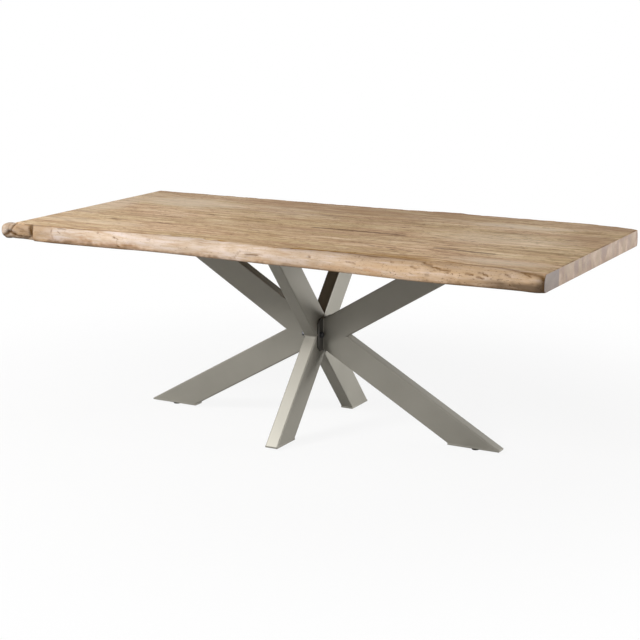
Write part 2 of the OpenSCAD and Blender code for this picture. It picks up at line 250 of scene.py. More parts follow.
class Coat(Net):
    """A material with one Principled shader, and what the finishes need to build its colour."""

    def __init__(self, name: str) -> None:
        """Starts the material.

        Args:
            name: Its name.
        """
        self.material = bpy.data.materials.new(name)
        self.material.use_nodes = True
        super().__init__(self.material.node_tree)
        self.tree.nodes.clear()
        self.shader = self.add("ShaderNodeBsdfPrincipled")
        self.output = self.add("ShaderNodeOutputMaterial", inputs={"Surface": self.shader.outputs[0]})

    def place(self) -> Socket:
        """Place on the object, in metres."""
        return self.add("ShaderNodeTexCoord").outputs["Object"]

    def attribute(self, name: str, output: str = "Fac") -> Socket:
        """Reads an attribute of the mesh, as a number or through another output."""
        return self.add("ShaderNodeAttribute", {"attribute_name": name}).outputs[output]

    def axis(self, place: Socket, name: str) -> Socket:
        """Takes one coordinate, X, Y or Z, out of a place."""
        return self.add("ShaderNodeSeparateXYZ", None, {0: place}).outputs[name]

    def ramp(self, share: Socket, stops: Stops) -> Socket:
        """Colours a value by a row of places and colours."""
        return self.add("ShaderNodeValToRGB", None, {"Fac": share}, stops).outputs[0]

    def tinted(self, colour: Socket, **changes: Socket) -> Socket:
        """Changes a colour's Hue, Saturation or Value."""
        return self.add("ShaderNodeHueSaturation", None, {"Color": colour, **changes}).outputs[0]

    def mix(self, share: Socket | float, below: Socket | str, above: Socket | str,
            blend: str = "MIX") -> Socket:
        """Lays one colour over another.

        Args:
            share: How much of the upper colour shows.
            below: The lower colour, as a socket or in hex.
            above: The upper colour.
            blend: How they are laid together.

        Returns:
            The mixed colour.
        """
        first, second = (linear(c) if isinstance(c, str) else c for c in (below, above))
        settings = {"data_type": "RGBA", "blend_type": blend}
        return self.add("ShaderNodeMix", settings, {0: share, 6: first, 7: second}).outputs[2]

    def streaks(self, place: Socket, layers: Sequence[Streaks]) -> Socket:
        """Adds layers of stretched noise up.

        Args:
            place: The vector that the pattern follows, with X along the fibres.
            layers: The layers.

        Returns:
            Their weighted sum.
        """
        total: Socket | float = 0.0
        for layer in layers:
            across = 1 / layer.width
            stretched = self.vector("MULTIPLY", place, (1 / layer.length, across, across))
            noise = self.noise(stretched, detail=layer.detail)
            total = self.math("MULTIPLY_ADD", noise, layer.weight, total)
        return total

    def rings(self, place: Socket, width: float, stops: Stops) -> Socket:
        """Colours the year rings of a log.

        Args:
            place: Place in the log, with its pith along X.
            width: Width of one ring.
            stops: Colours from the inside of a ring to its outside.

        Returns:
            The colour.
        """
        radius = self.vector("LENGTH", self.vector("MULTIPLY", place, (0, 1, 1)))
        return self.ramp(self.math("FRACT", self.math("MULTIPLY", radius, 1 / width)), stops)

    def bands(self, colour: Socket, bands: Bands, fray: Socket) -> Socket:
        """Lays stains over a colour where the mesh's attributes say so.

        Args:
            colour: The colour below.
            bands: Attribute name, colour and strength of each stain.
            fray: A factor that breaks the stains up along the fibres.

        Returns:
            The stained colour.
        """
        for name, hex_colour, strength in bands:
            frayed = self.math("MULTIPLY", self.attribute(name), fray)
            colour = self.mix(self.math("MULTIPLY", frayed, strength, clamp=True), colour, hex_colour)
        return colour

    def close(self, colour: Socket, height: Socket, bump: Span,
              others: dict[str, Socket | float]) -> bpy.types.Material:
        """Fills the shader.

        Args:
            colour: The base colour.
            height: The fine relief.
            bump: Strength of the relief and its depth in metres.
            others: Other inputs of the shader by name.

        Returns:
            The finished material.
        """
        strength, depth = bump
        normal = self.add("ShaderNodeBump", None, {"Strength": strength, "Distance": depth, "Height": height})
        feed(self.tree, self.shader, {"Base Color": colour, "Normal": normal.outputs[0], **others})
        return self.material


@dataclass(frozen=True)
class OiledHardwood:
    """Planed, sanded and oiled hardwood: straight light-brown grain with fine pores and a dull satin.

    The eye reads long pale and brown streaks, darker lines of late wood and soft stains; the live edges
    also get a painted shade towards their foot. Fibres are about 0.3 mm wide and pores 0.2 mm, both too
    fine to show, so they are drawn about 2 mm wide.
    """

    name: str = "oiled_hardwood_long_grain"
    shades: Stops = (
        (0.0, "#86683f"), (0.22, "#a6855a"), (0.45, "#b9986c"), (0.68, "#c7a97f"), (1.0, "#d9c09c"))
    figure: tuple[Streaks, ...] = (
        Streaks(0.70, 0.070, 0.20), Streaks(0.24, 0.022, 0.26), Streaks(0.10, 0.010, 0.30),
        Streaks(0.045, 0.0048, 0.24))
    drift: tuple[Streaks, ...] = (Streaks(0.5, 0.07, 1.0, 2.0),)
    ring_width: float = 0.0085
    late_wood: Stops = ((0.0, "#ffffff"), (0.55, "#ffffff"), (0.9, "#d2c2b2"), (1.0, "#ffffff"))
    pores: tuple[Streaks, ...] = (Streaks(0.040, 0.0055, 0.6, 2.0), Streaks(0.015, 0.003, 0.4, 1.0))
    pore_colour: str = "#a0866a"
    face_bands: Bands = (("pale", "#d3c0a8", 0.8), ("russet", "#98714a", 0.7), ("stain", "#5f4120", 1.0))
    sapwood: Stops = ((0.0, "#b99a7f"), (0.35, "#c9b29a"), (0.6, "#d5c1b0"), (1.0, "#dfd0c9"))
    blotches: tuple[Streaks, ...] = (Streaks(0.18, 0.022, 0.65), Streaks(0.05, 0.006, 0.35))
    # The low band is painted shade at the foot of the live edge, with a brown tint.
    edge_bands: Bands = (("tan", "#bb9c79", 0.8), ("warm", "#bd946e", 0.9), ("low", "#78634e", 0.95))
    specks: tuple[Streaks, ...] = (Streaks(0.012, 0.0045, 0.6, 2.0), Streaks(0.005, 0.002, 0.4, 1.0))
    speck_bands: Bands = (("specks", "#654a2e", 0.85),)
    bark_bands: Bands = (("bark", "#644213", 1.0),)
    late_share: float = 0.55
    sway_scale: Triple = (1.1, 7.0, 7.0)
    sway_reach: Triple = (0.0, 0.05, 0.05)
    figure_span: Span = (0.38, 0.62)
    pore_span: Span = (0.565, 0.640)
    drift_span: Span = (0.4, 0.6)
    hues: Span = (0.493, 0.505)
    fray: Span = (1.35, 0.6)
    blotch_span: Span = (0.32, 0.68)
    blotch_fray: Span = (1.4, 0.5)
    speck_span: Span = (0.58, 0.66)
    roughness: Span = (0.75, 0.62)
    shine: float = 0.12
    bump: Span = (0.25, 0.0006)

    def material(self) -> bpy.types.Material:
        """Builds the material.

        Returns:
            The material for the long-grain faces and the live edges.
        """
        coat = Coat(self.name)
        grain = coat.attribute("grain", "Vector")
        sway = coat.noise(coat.vector("MULTIPLY", grain, self.sway_scale), detail=1.0)
        place = coat.vector("MULTIPLY_ADD", sway.node.outputs["Color"], self.sway_reach, grain)
        figure = coat.remap(coat.streaks(place, self.figure), *self.figure_span)
        pores = coat.remap(coat.streaks(place, self.pores), *self.pore_span)
        fray = coat.remap(figure, 0.0, 1.0, *self.fray)
        hue = coat.remap(coat.streaks(grain, self.drift), *self.drift_span, *self.hues)
        face = coat.tinted(coat.ramp(figure, self.shades), Hue=hue)
        face = coat.mix(self.late_share, face, coat.rings(place, self.ring_width, self.late_wood), "MULTIPLY")
        face = coat.mix(pores, face, self.pore_colour, "MULTIPLY")
        face = coat.bands(face, self.face_bands, fray)
        colour = coat.mix(coat.attribute("live"), face, self.live_edge(coat, grain))
        colour = coat.bands(colour, self.bark_bands, fray)
        # The tone attribute holds the wood's lightness and the painted shade of faces that look down.
        colour = coat.tinted(colour, Value=coat.attribute("tone"), Saturation=coat.attribute("rich"))
        return coat.close(colour, coat.math("SUBTRACT", figure, pores), self.bump, {
            "Roughness": coat.remap(figure, 0.0, 1.0, *self.roughness), "Specular IOR Level": self.shine})

    def live_edge(self, coat: Coat, grain: Socket) -> Socket:
        """Colours the sapwood of the live edges.

        Args:
            coat: The material.
            grain: Place in the log.

        Returns:
            The colour.
        """
        blotch = coat.remap(coat.streaks(grain, self.blotches), *self.blotch_span)
        specks = coat.remap(coat.streaks(grain, self.specks), *self.speck_span)
        fray = coat.remap(blotch, 0.0, 1.0, *self.blotch_fray)
        edge = coat.bands(coat.ramp(blotch, self.sapwood), self.edge_bands, fray)
        return coat.bands(edge, self.speck_bands, specks)


@dataclass(frozen=True)
class SawnEndGrain:
    """Hardwood end grain, sawn and lightly sanded: pinkish grey-tan with ring arcs and fine saw lines.

    The rings show as faint arcs. Vessels are 0.2 mm wide, and are drawn as 1.5 mm specks.
    """

    name: str = "oiled_hardwood_end_grain"
    shades: Stops = ((0.0, "#7f6a5b"), (0.4, "#897564"), (0.7, "#937f6e"), (1.0, "#9d8a79"))
    ring_width: float = 0.0085
    late_wood: Stops = ((0.0, "#ffffff"), (0.5, "#f4ece4"), (0.9, "#cdb9a8"), (1.0, "#ffffff"))
    late_share: float = 0.3
    clouds: float = 22.0
    cloud_span: Span = (0.36, 0.62)
    bend: Triple = (0.0, 0.012, 0.012)
    blocks: tuple[str, ...] = ("#77655c", "#8f7e68")
    block_scale: Triple = (0, 21, 11)
    block_shifts: tuple[Triple, ...] = ((0, 0, 3.1), (0, 7.3, 3.1))
    block_span: Span = (0.50, 0.56)
    block_share: float = 0.55
    vessels: float = 650.0
    vessel_span: Span = (0.18, 0.08)
    vessel_colour: str = "#c2b0a2"
    saw_lines: Triple = (1, 420, 9)
    mauve: str = "#69605c"
    mauve_span: Span = (-0.376, -0.386)
    mauve_share: float = 0.75
    roughness: float = 0.66
    bump: Span = (0.3, 0.0005)

    def material(self) -> bpy.types.Material:
        """Builds the material.

        Returns:
            The material for the sawn ends.
        """
        coat = Coat(self.name)
        place = coat.place()
        cloud = coat.noise(place, self.clouds, 3.0)
        grain = coat.attribute("grain", "Vector")
        bent = coat.vector("MULTIPLY_ADD", cloud.node.outputs["Color"], self.bend, grain)
        late = coat.rings(bent, self.ring_width, self.late_wood)
        colour = coat.ramp(coat.remap(cloud, *self.cloud_span), self.shades)
        colour = coat.mix(self.late_share, colour, late, "MULTIPLY")
        for tint, shift in zip(self.blocks, self.block_shifts):
            wide = coat.vector("MULTIPLY_ADD", place, self.block_scale, shift)
            share = coat.remap(coat.noise(wide, detail=1.0), *self.block_span, 0.0, self.block_share)
            colour = coat.mix(share, colour, tint)
        vessels = coat.add("ShaderNodeTexVoronoi", None, {"Vector": place, "Scale": self.vessels})
        speck = coat.remap(vessels.outputs["Distance"], *self.vessel_span)
        colour = coat.mix(speck, colour, self.vessel_colour, "MULTIPLY")
        front = coat.remap(coat.axis(place, "Y"), *self.mauve_span, 0.0, self.mauve_share, "SMOOTHSTEP")
        colour = coat.tinted(coat.mix(front, colour, self.mauve), Value=coat.attribute("tone"))
        saw = coat.noise(coat.vector("MULTIPLY", place, self.saw_lines))
        height = coat.math("SUBTRACT", saw, speck)
        return coat.close(colour, height, self.bump, {"Roughness": self.roughness, "IOR": 1.45})


@dataclass(frozen=True)
class PowderCoat:
    """Baked powder coat on steel: one warm grey with fine metal flakes, satin, with a faint orange peel.

    The flakes are too fine to see one by one and show as a soft sheen that turns with the light. The
    peel's waves are 1 to 2 mm long and are drawn 2.4 mm long. The shade drifts a little where the coat
    is thicker, and dulls towards the floor.
    """

    name: str = "satin_powder_coat"
    colour: str = "#8c8980"
    thin: str = "#858279"
    dust: str = "#949187"
    roughness: Span = (0.46, 0.56)
    rough_span: Span = (0.3, 0.7)
    flakes: float = 0.45
    peel: float = 0.0024
    cloud: float = 0.28
    cloud_span: Span = (0.35, 0.65)
    dust_height: float = 0.07
    dust_share: float = 0.5
    bump: Span = (0.07, 0.0003)

    def material(self) -> bpy.types.Material:
        """Builds the material.

        Returns:
            The material for tubes and plates.
        """
        coat = Coat(self.name)
        place = coat.place()
        cloud = coat.noise(place, 1 / self.cloud, 4.0, 0.6)
        share = coat.remap(cloud, *self.cloud_span)
        low = coat.remap(coat.axis(place, "Z"), self.dust_height, 0.0, 0.0, self.dust_share, "SMOOTHSTEP")
        colour = coat.mix(share, self.thin, self.colour)
        colour = coat.mix(coat.math("MULTIPLY", low, share), colour, self.dust)
        return coat.close(colour, coat.noise(place, 1 / self.peel, 1.5), self.bump, {
            "Roughness": coat.remap(cloud, *self.rough_span, *self.roughness), "Metallic": self.flakes})


@dataclass(frozen=True)
class PlatedMetal:
    """Plated or turned metal of a fastener: fine lines round the piece and a cloudy plating.

    Turning lines are 0.1 mm apart and are drawn 0.8 mm apart.
    """

    name: str
    colour: str
    stain: str
    roughness: Span = (0.28, 0.45)
    line: float = 0.0008
    clouds: float = 140.0
    cloud_span: Span = (0.4, 0.7)
    bump: Span = (0.1, 0.0001)

    def material(self) -> bpy.types.Material:
        """Builds the material.

        Returns:
            The material for fasteners of this metal.
        """
        coat = Coat(self.name)
        place = coat.place()
        cloud = coat.noise(place, self.clouds, 3.0)
        colour = coat.mix(coat.remap(cloud, *self.cloud_span), self.colour, self.stain)
        return coat.close(colour, coat.noise(place, 1 / self.line), self.bump, {
            "Roughness": coat.remap(cloud, 0.0, 1.0, *self.roughness), "Metallic": 1.0})


@dataclass(frozen=True)
class MouldedNylon:
    """Injection-moulded black nylon: nearly matt, with the fine grain of an eroded mould.

    The grain is 0.05 mm and is drawn 0.7 mm wide.
    """

    name: str = "moulded_nylon"
    colour: str = "#2c2b29"
    worn: str = "#45433f"
    grain: float = 0.0007
    clouds: float = 90.0
    cloud_span: Span = (0.45, 0.75)
    roughness: float = 0.55
    bump: Span = (0.25, 0.0001)

    def material(self) -> bpy.types.Material:
        """Builds the material.

        Returns:
            The material for the glides.
        """
        coat = Coat(self.name)
        place = coat.place()
        share = coat.remap(coat.noise(place, self.clouds, 3.0), *self.cloud_span)
        return coat.close(coat.mix(share, self.colour, self.worn), coat.noise(place, 1 / self.grain),
                          self.bump, {"Roughness": self.roughness, "IOR": 1.53})


@dataclass(frozen=True)
class Finishes:
    """Every finish on the table, made once."""

    long_grain: bpy.types.Material = field(default_factory=OiledHardwood().material)
    end_grain: bpy.types.Material = field(default_factory=SawnEndGrain().material)
    paint: bpy.types.Material = field(default_factory=PowderCoat().material)
    # A darker copy of the powder coat for the hub plates: painted shade for the gap between the arms where
    # they sit.
    dark_paint: bpy.types.Material = field(
        default_factory=PowderCoat("powder_coat_painted_shade", "#5d5b56", "#565450", "#64625d").material)
    zinc: bpy.types.Material = field(
        default_factory=PlatedMetal("dark_zinc_plated_steel", "#56575a", "#3e3f41", (0.38, 0.55)).material)
    brass: bpy.types.Material = field(
        default_factory=PlatedMetal("turned_brass", "#b79a55", "#8d7440").material)
    nylon: bpy.types.Material = field(default_factory=MouldedNylon().material)


def smooth_step(value: np.ndarray, low: float, high: float) -> np.ndarray:
    """Soft step from 0 at low to 1 at high.

    Args:
        value: The values.
        low: Where the step begins; it may be above high.
        high: Where the step ends.

    Returns:
        The step at each value.
    """
    share = np.clip((value - low) / (high - low), 0, 1)
    return share * share * (3 - 2 * share)


def lattice_noise(points: np.ndarray, scale: Triple, seed: int, size: float) -> np.ndarray:
    """Smooth noise, the same in every run.

    Args:
        points: The points.
        scale: Bumps in a metre along each axis.
        seed: Picks the pattern.
        size: How far it goes above and below 0.

    Returns:
        The noise at each point.
    """
    places = points * scale
    cell = np.floor(places)
    part = places - cell
    part = part * part * (3 - 2 * part)
    total = np.zeros(len(places))
    for corner in ((i, j, k) for i in (0, 1) for j in (0, 1) for k in (0, 1)):
        at = cell + corner
        shuffled = np.sin(at @ SHUFFLE_AXES + seed * SHUFFLE_SEED) * SHUFFLE_SIZE
        share = np.prod(np.where(np.array(corner) == 1, part, 1 - part), axis=1)
        total += share * (2 * (shuffled - np.floor(shuffled)) - 1)
    return size * total


def ripple(points: np.ndarray, layers: Ripples) -> np.ndarray:
    """Adds up layers of smooth noise, each given by its scale, seed and size."""
    return sum(lattice_noise(points, *layer) for layer in layers)


def within(value: np.ndarray, *steps: Sequence[float]) -> np.ndarray:
    """Multiplies soft steps, each given by where it begins and ends."""
    return np.prod([smooth_step(value, low, high) for low, high in steps], axis=0)


class KnotCurve:
    """Smooth curve through a knot table: the first column is the place, the others are values."""

    def __init__(self, knots: Rows, *units: float) -> None:
        """Stores the table and works out its slopes.

        Args:
            knots: Rows of a place and the values there.
            units: What 1 stands for in each column of values.
        """
        self.knots = np.array(knots) * (1.0, *units)
        place = self.knots[:, 0]
        low = np.maximum(np.arange(len(place)) - 1, 0)
        high = np.minimum(np.arange(len(place)) + 1, len(place) - 1)
        self.slopes = (self.knots[high] - self.knots[low]) / (place[high] - place[low])[:, None]

    def at(self, column: int, where: np.ndarray) -> np.ndarray:
        """Reads one column of the curve.

        Args:
            column: Which value, counted from 1.
            where: The places.

        Returns:
            The value at each place.
        """
        place = self.knots[:, 0]
        row = np.clip(np.searchsorted(place, where, side="right") - 1, 0, len(place) - 2)
        width = place[row + 1] - place[row]
        t = np.clip((where - place[row]) / width, 0, 1)
        here, there = self.knots[row, column], self.knots[row + 1, column]
        return ((1 + 2 * t) * (1 - t) ** 2 * here + t * (1 - t) ** 2 * width * self.slopes[row, column]
                + t * t * (3 - 2 * t) * there + t * t * (t - 1) * width * self.slopes[row + 1, column])


def make_object(name: str, mesh: bpy.types.Mesh) -> bpy.types.Object:
    """Links a mesh into the scene as an object at the origin.

    Args:
        name: The object's name.
        mesh: Its mesh.

    Returns:
        The object.
    """
    piece = bpy.data.objects.new(name, mesh)
    bpy.context.scene.collection.objects.link(piece)
    return piece


def discard(piece: bpy.types.Object) -> None:
    """Deletes an object with its mesh.

    Args:
        piece: The object.
    """
    mesh = piece.data
    bpy.data.objects.remove(piece)
    bpy.data.meshes.remove(mesh)


def modified_mesh(piece: bpy.types.Object) -> bpy.types.Mesh:
    """Takes a plain mesh of an object as its modifiers make it.

    Args:
        piece: The object.

    Returns:
        The new mesh.
    """
    bpy.context.view_layer.update()
    return bpy.data.meshes.new_from_object(piece.evaluated_get(bpy.context.evaluated_depsgraph_get()))


def read_vectors(items: bpy.types.bpy_prop_collection, key: str) -> np.ndarray:
    """Reads a vector of every vertex or face of a mesh.

    Args:
        items: The mesh's vertices or faces.
        key: The vector's name.

    Returns:
        One row for each.
    """
    values = np.empty(len(items) * 3)
    items.foreach_get(key, values)
    return values.reshape(-1, 3)


def from_bmesh(name: str, shape: bmesh.types.BMesh, soft_angle: float = 35.0) -> bpy.types.Object:
    """Turns an edit mesh into an object with outward faces, smooth below an angle.

    Args:
        name: The object's name.
        shape: The edit mesh, which is freed.
        soft_angle: Edges sharper than this, in degrees, stay sharp.

    Returns:
        The object.
    """
    bmesh.ops.recalc_face_normals(shape, faces=shape.faces)
    mesh = bpy.data.meshes.new(name)
    shape.to_mesh(mesh)
    shape.free()
    mesh.shade_smooth()
    mesh.set_sharp_from_angle(angle=math.radians(soft_angle))
    return make_object(name, mesh)


def from_points(name: str, points: Sequence, edges: Sequence = (), faces: Sequence = ()) -> bpy.types.Object:
    """Makes an object of points, edges and faces.

    Args:
        name: The object's name.
        points: The points.
        edges: Pairs of point numbers.
        faces: Rows of point numbers.

    Returns:
        The object.
    """
    mesh = bpy.data.meshes.new(name)
    mesh.from_pydata([tuple(p) for p in points], edges, faces)
    return make_object(name, mesh)


def ring_solid(name: str, rings: np.ndarray) -> bpy.types.Object:
    """Makes a closed solid through a row of rings along +X.

    Args:
        name: The object's name.
        rings: Points as ring, point in the ring, axis; anticlockwise as seen from +X.

    Returns:
        The object.
    """
    count, size, _ = rings.shape
    i, j = np.meshgrid(np.arange(count - 1), np.arange(size), indexing="ij")
    here = (i * size + j).ravel()
    beside = (i * size + (j + 1) % size).ravel()
    faces = np.stack([here, beside, beside + size, here + size], axis=1).tolist()
    faces.append(list(range(size - 1, -1, -1)))
    faces.append(list(range((count - 1) * size, count * size)))
    return from_points(name, rings.reshape(-1, 3).tolist(), [], faces)


def turned(place: Matrix, radius: float, angle: float, height: float) -> Vector:
    """Point at a radius, an angle and a height about the Z axis of a place."""
    return place @ Vector((radius * math.cos(angle), radius * math.sin(angle), height))


def lathe(shape: bmesh.types.BMesh, profile: Sequence[tuple[float, float]], place: Matrix, turns: int,
          closed: bool = False) -> None:
    """Adds a turned solid to an edit mesh.

    Args:
        shape: The edit mesh.
        profile: Radius and height along the outline, from axis to axis or once round a ring.
        place: Puts the solid, turned about its own Z, where it belongs.
        turns: Number of steps round the axis.
        closed: Whether the outline goes back to its start, as for a ring.
    """
    angles = [2 * math.pi * k / turns for k in range(turns)]
    rings = [[shape.verts.new(turned(place, r, a, height)) for a in (angles if r > 0 else angles[:1])]
             for r, height in profile]
    for low, high in zip(rings, rings[1:] + rings[:1] if closed else rings[1:]):
        for k in range(turns):
            steps = ((low, k), (low, k + 1), (high, k + 1), (high, k))
            shape.faces.new(list(dict.fromkeys(ring[at % len(ring)] for ring, at in steps)))


class NodeTool(Net):
    """A Geometry Nodes tree with named inputs, run once on an object to give a plain mesh."""

    def __init__(self, name: str) -> None:
        """Starts an empty tree.

        Args:
            name: The tree's name.
        """
        super().__init__(bpy.data.node_groups.new(name, "GeometryNodeTree"))
        for direction in ("INPUT", "OUTPUT"):
            self.tree.interface.new_socket("Geometry", in_out=direction, socket_type="NodeSocketGeometry")
        self.ways_in = self.tree.nodes.new("NodeGroupInput")
        self.way_out = self.tree.nodes.new("NodeGroupOutput")
        self.geometry = self.ways_in.outputs["Geometry"]

    def ask(self, name: str, kind: str = "Float") -> Socket:
        """Adds a named input.

        Args:
            name: The input's name.
            kind: Float, Object or Material.

        Returns:
            The socket that carries it.
        """
        self.tree.interface.new_socket(name, in_out="INPUT", socket_type="NodeSocket" + kind)
        return self.ways_in.outputs[name]

    def named(self, name: str, kind: str = "FLOAT") -> Socket:
        """Reads a named attribute of the geometry."""
        return self.add("GeometryNodeInputNamedAttribute", {"data_type": kind}, {"Name": name}).outputs[0]

    def dressed(self, shape: Socket, material: Socket) -> Socket:
        """Realizes instances and gives them a material.

        Args:
            shape: The geometry.
            material: The material input.

        Returns:
            The dressed geometry.
        """
        real = self.add("GeometryNodeRealizeInstances", None, {0: shape})
        return self.add("GeometryNodeSetMaterial", None, {
            "Geometry": real.outputs[0], "Material": material}).outputs[0]

    def end(self, shape: Socket) -> None:
        """Ends the tree in the geometry made so far."""
        self.tree.links.new(shape, self.way_out.inputs[0])

    def run(self, name: str, carrier: bpy.types.Object, values: dict) -> bpy.types.Object:
        """Runs the tree on an object and keeps only the result.

        Args:
            name: Name of the new piece.
            carrier: The object that carries the input geometry; it is deleted.
            values: The inputs' values by name.

        Returns:
            A plain mesh object at the origin.
        """
        modifier = carrier.modifiers.new("nodes", "NODES")
        modifier.node_group = self.tree
        for item in self.tree.interface.items_tree:
            if item.in_out == "INPUT" and item.name in values:
                modifier[item.identifier] = values[item.name]
        mesh = modified_mesh(carrier)
        discard(carrier)
        mesh.name = name
        return make_object(name, mesh)


def place_piece(piece: bpy.types.Object, body: str, slot: Slot, *nodes: str) -> None:
    """Hands a finished piece to the frame and reports it.

    Args:
        piece: The piece.
        body: The body that it rides on.
        slot: The record's slot that its finish comes from; not used.
        nodes: The CAD nodes that it stands for.
    """
    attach(piece, body)
    if nodes:
        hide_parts(*nodes)
    LOG.info("%s: %d faces on %s for %s", piece.name, len(piece.data.polygons), body,
             ", ".join(nodes) or "trim")


@dataclass(frozen=True)
class Mark:
    """A short line on the wood, as a streak, a crack or a dent: its ends, half width, stain and depth.

    The ends are in length and width on the face, and in length and height on the front edge. Ends,
    half width and depth are in millimetres, and the stain is a strength.
    """

    u0: float
    v0: float
    u1: float
    v1: float
    half: float
    stain: float
    depth: float = 0.0

    def share(self, u: np.ndarray, v: np.ndarray) -> np.ndarray:
        """How near points lie to the line.

        Args:
            u: First coordinate of the points, in metres.
            v: Second coordinate of the points, in metres.

        Returns:
            1 on the line, falling away over its half width.
        """
        du, dv = self.u1 - self.u0, self.v1 - self.v0
        from_u, from_v = u / MM - self.u0, v / MM - self.v0
        t = np.clip((from_u * du + from_v * dv) / (du * du + dv * dv), 0, 1)
        away = np.hypot(from_u - t * du, from_v - t * dv)
        return np.exp(-(away / self.half) ** 2)


def strongest(rows: Rows, u: np.ndarray, v: np.ndarray) -> np.ndarray:
    """Finds the strongest stain of a table of marks.

    Args:
        rows: The values of each mark.
        u: First coordinate of the points.
        v: Second coordinate of the points.

    Returns:
        The stain at each point.
    """
    return np.maximum.reduce([mark.stain * mark.share(u, v) for mark in (Mark(*row) for row in rows)])


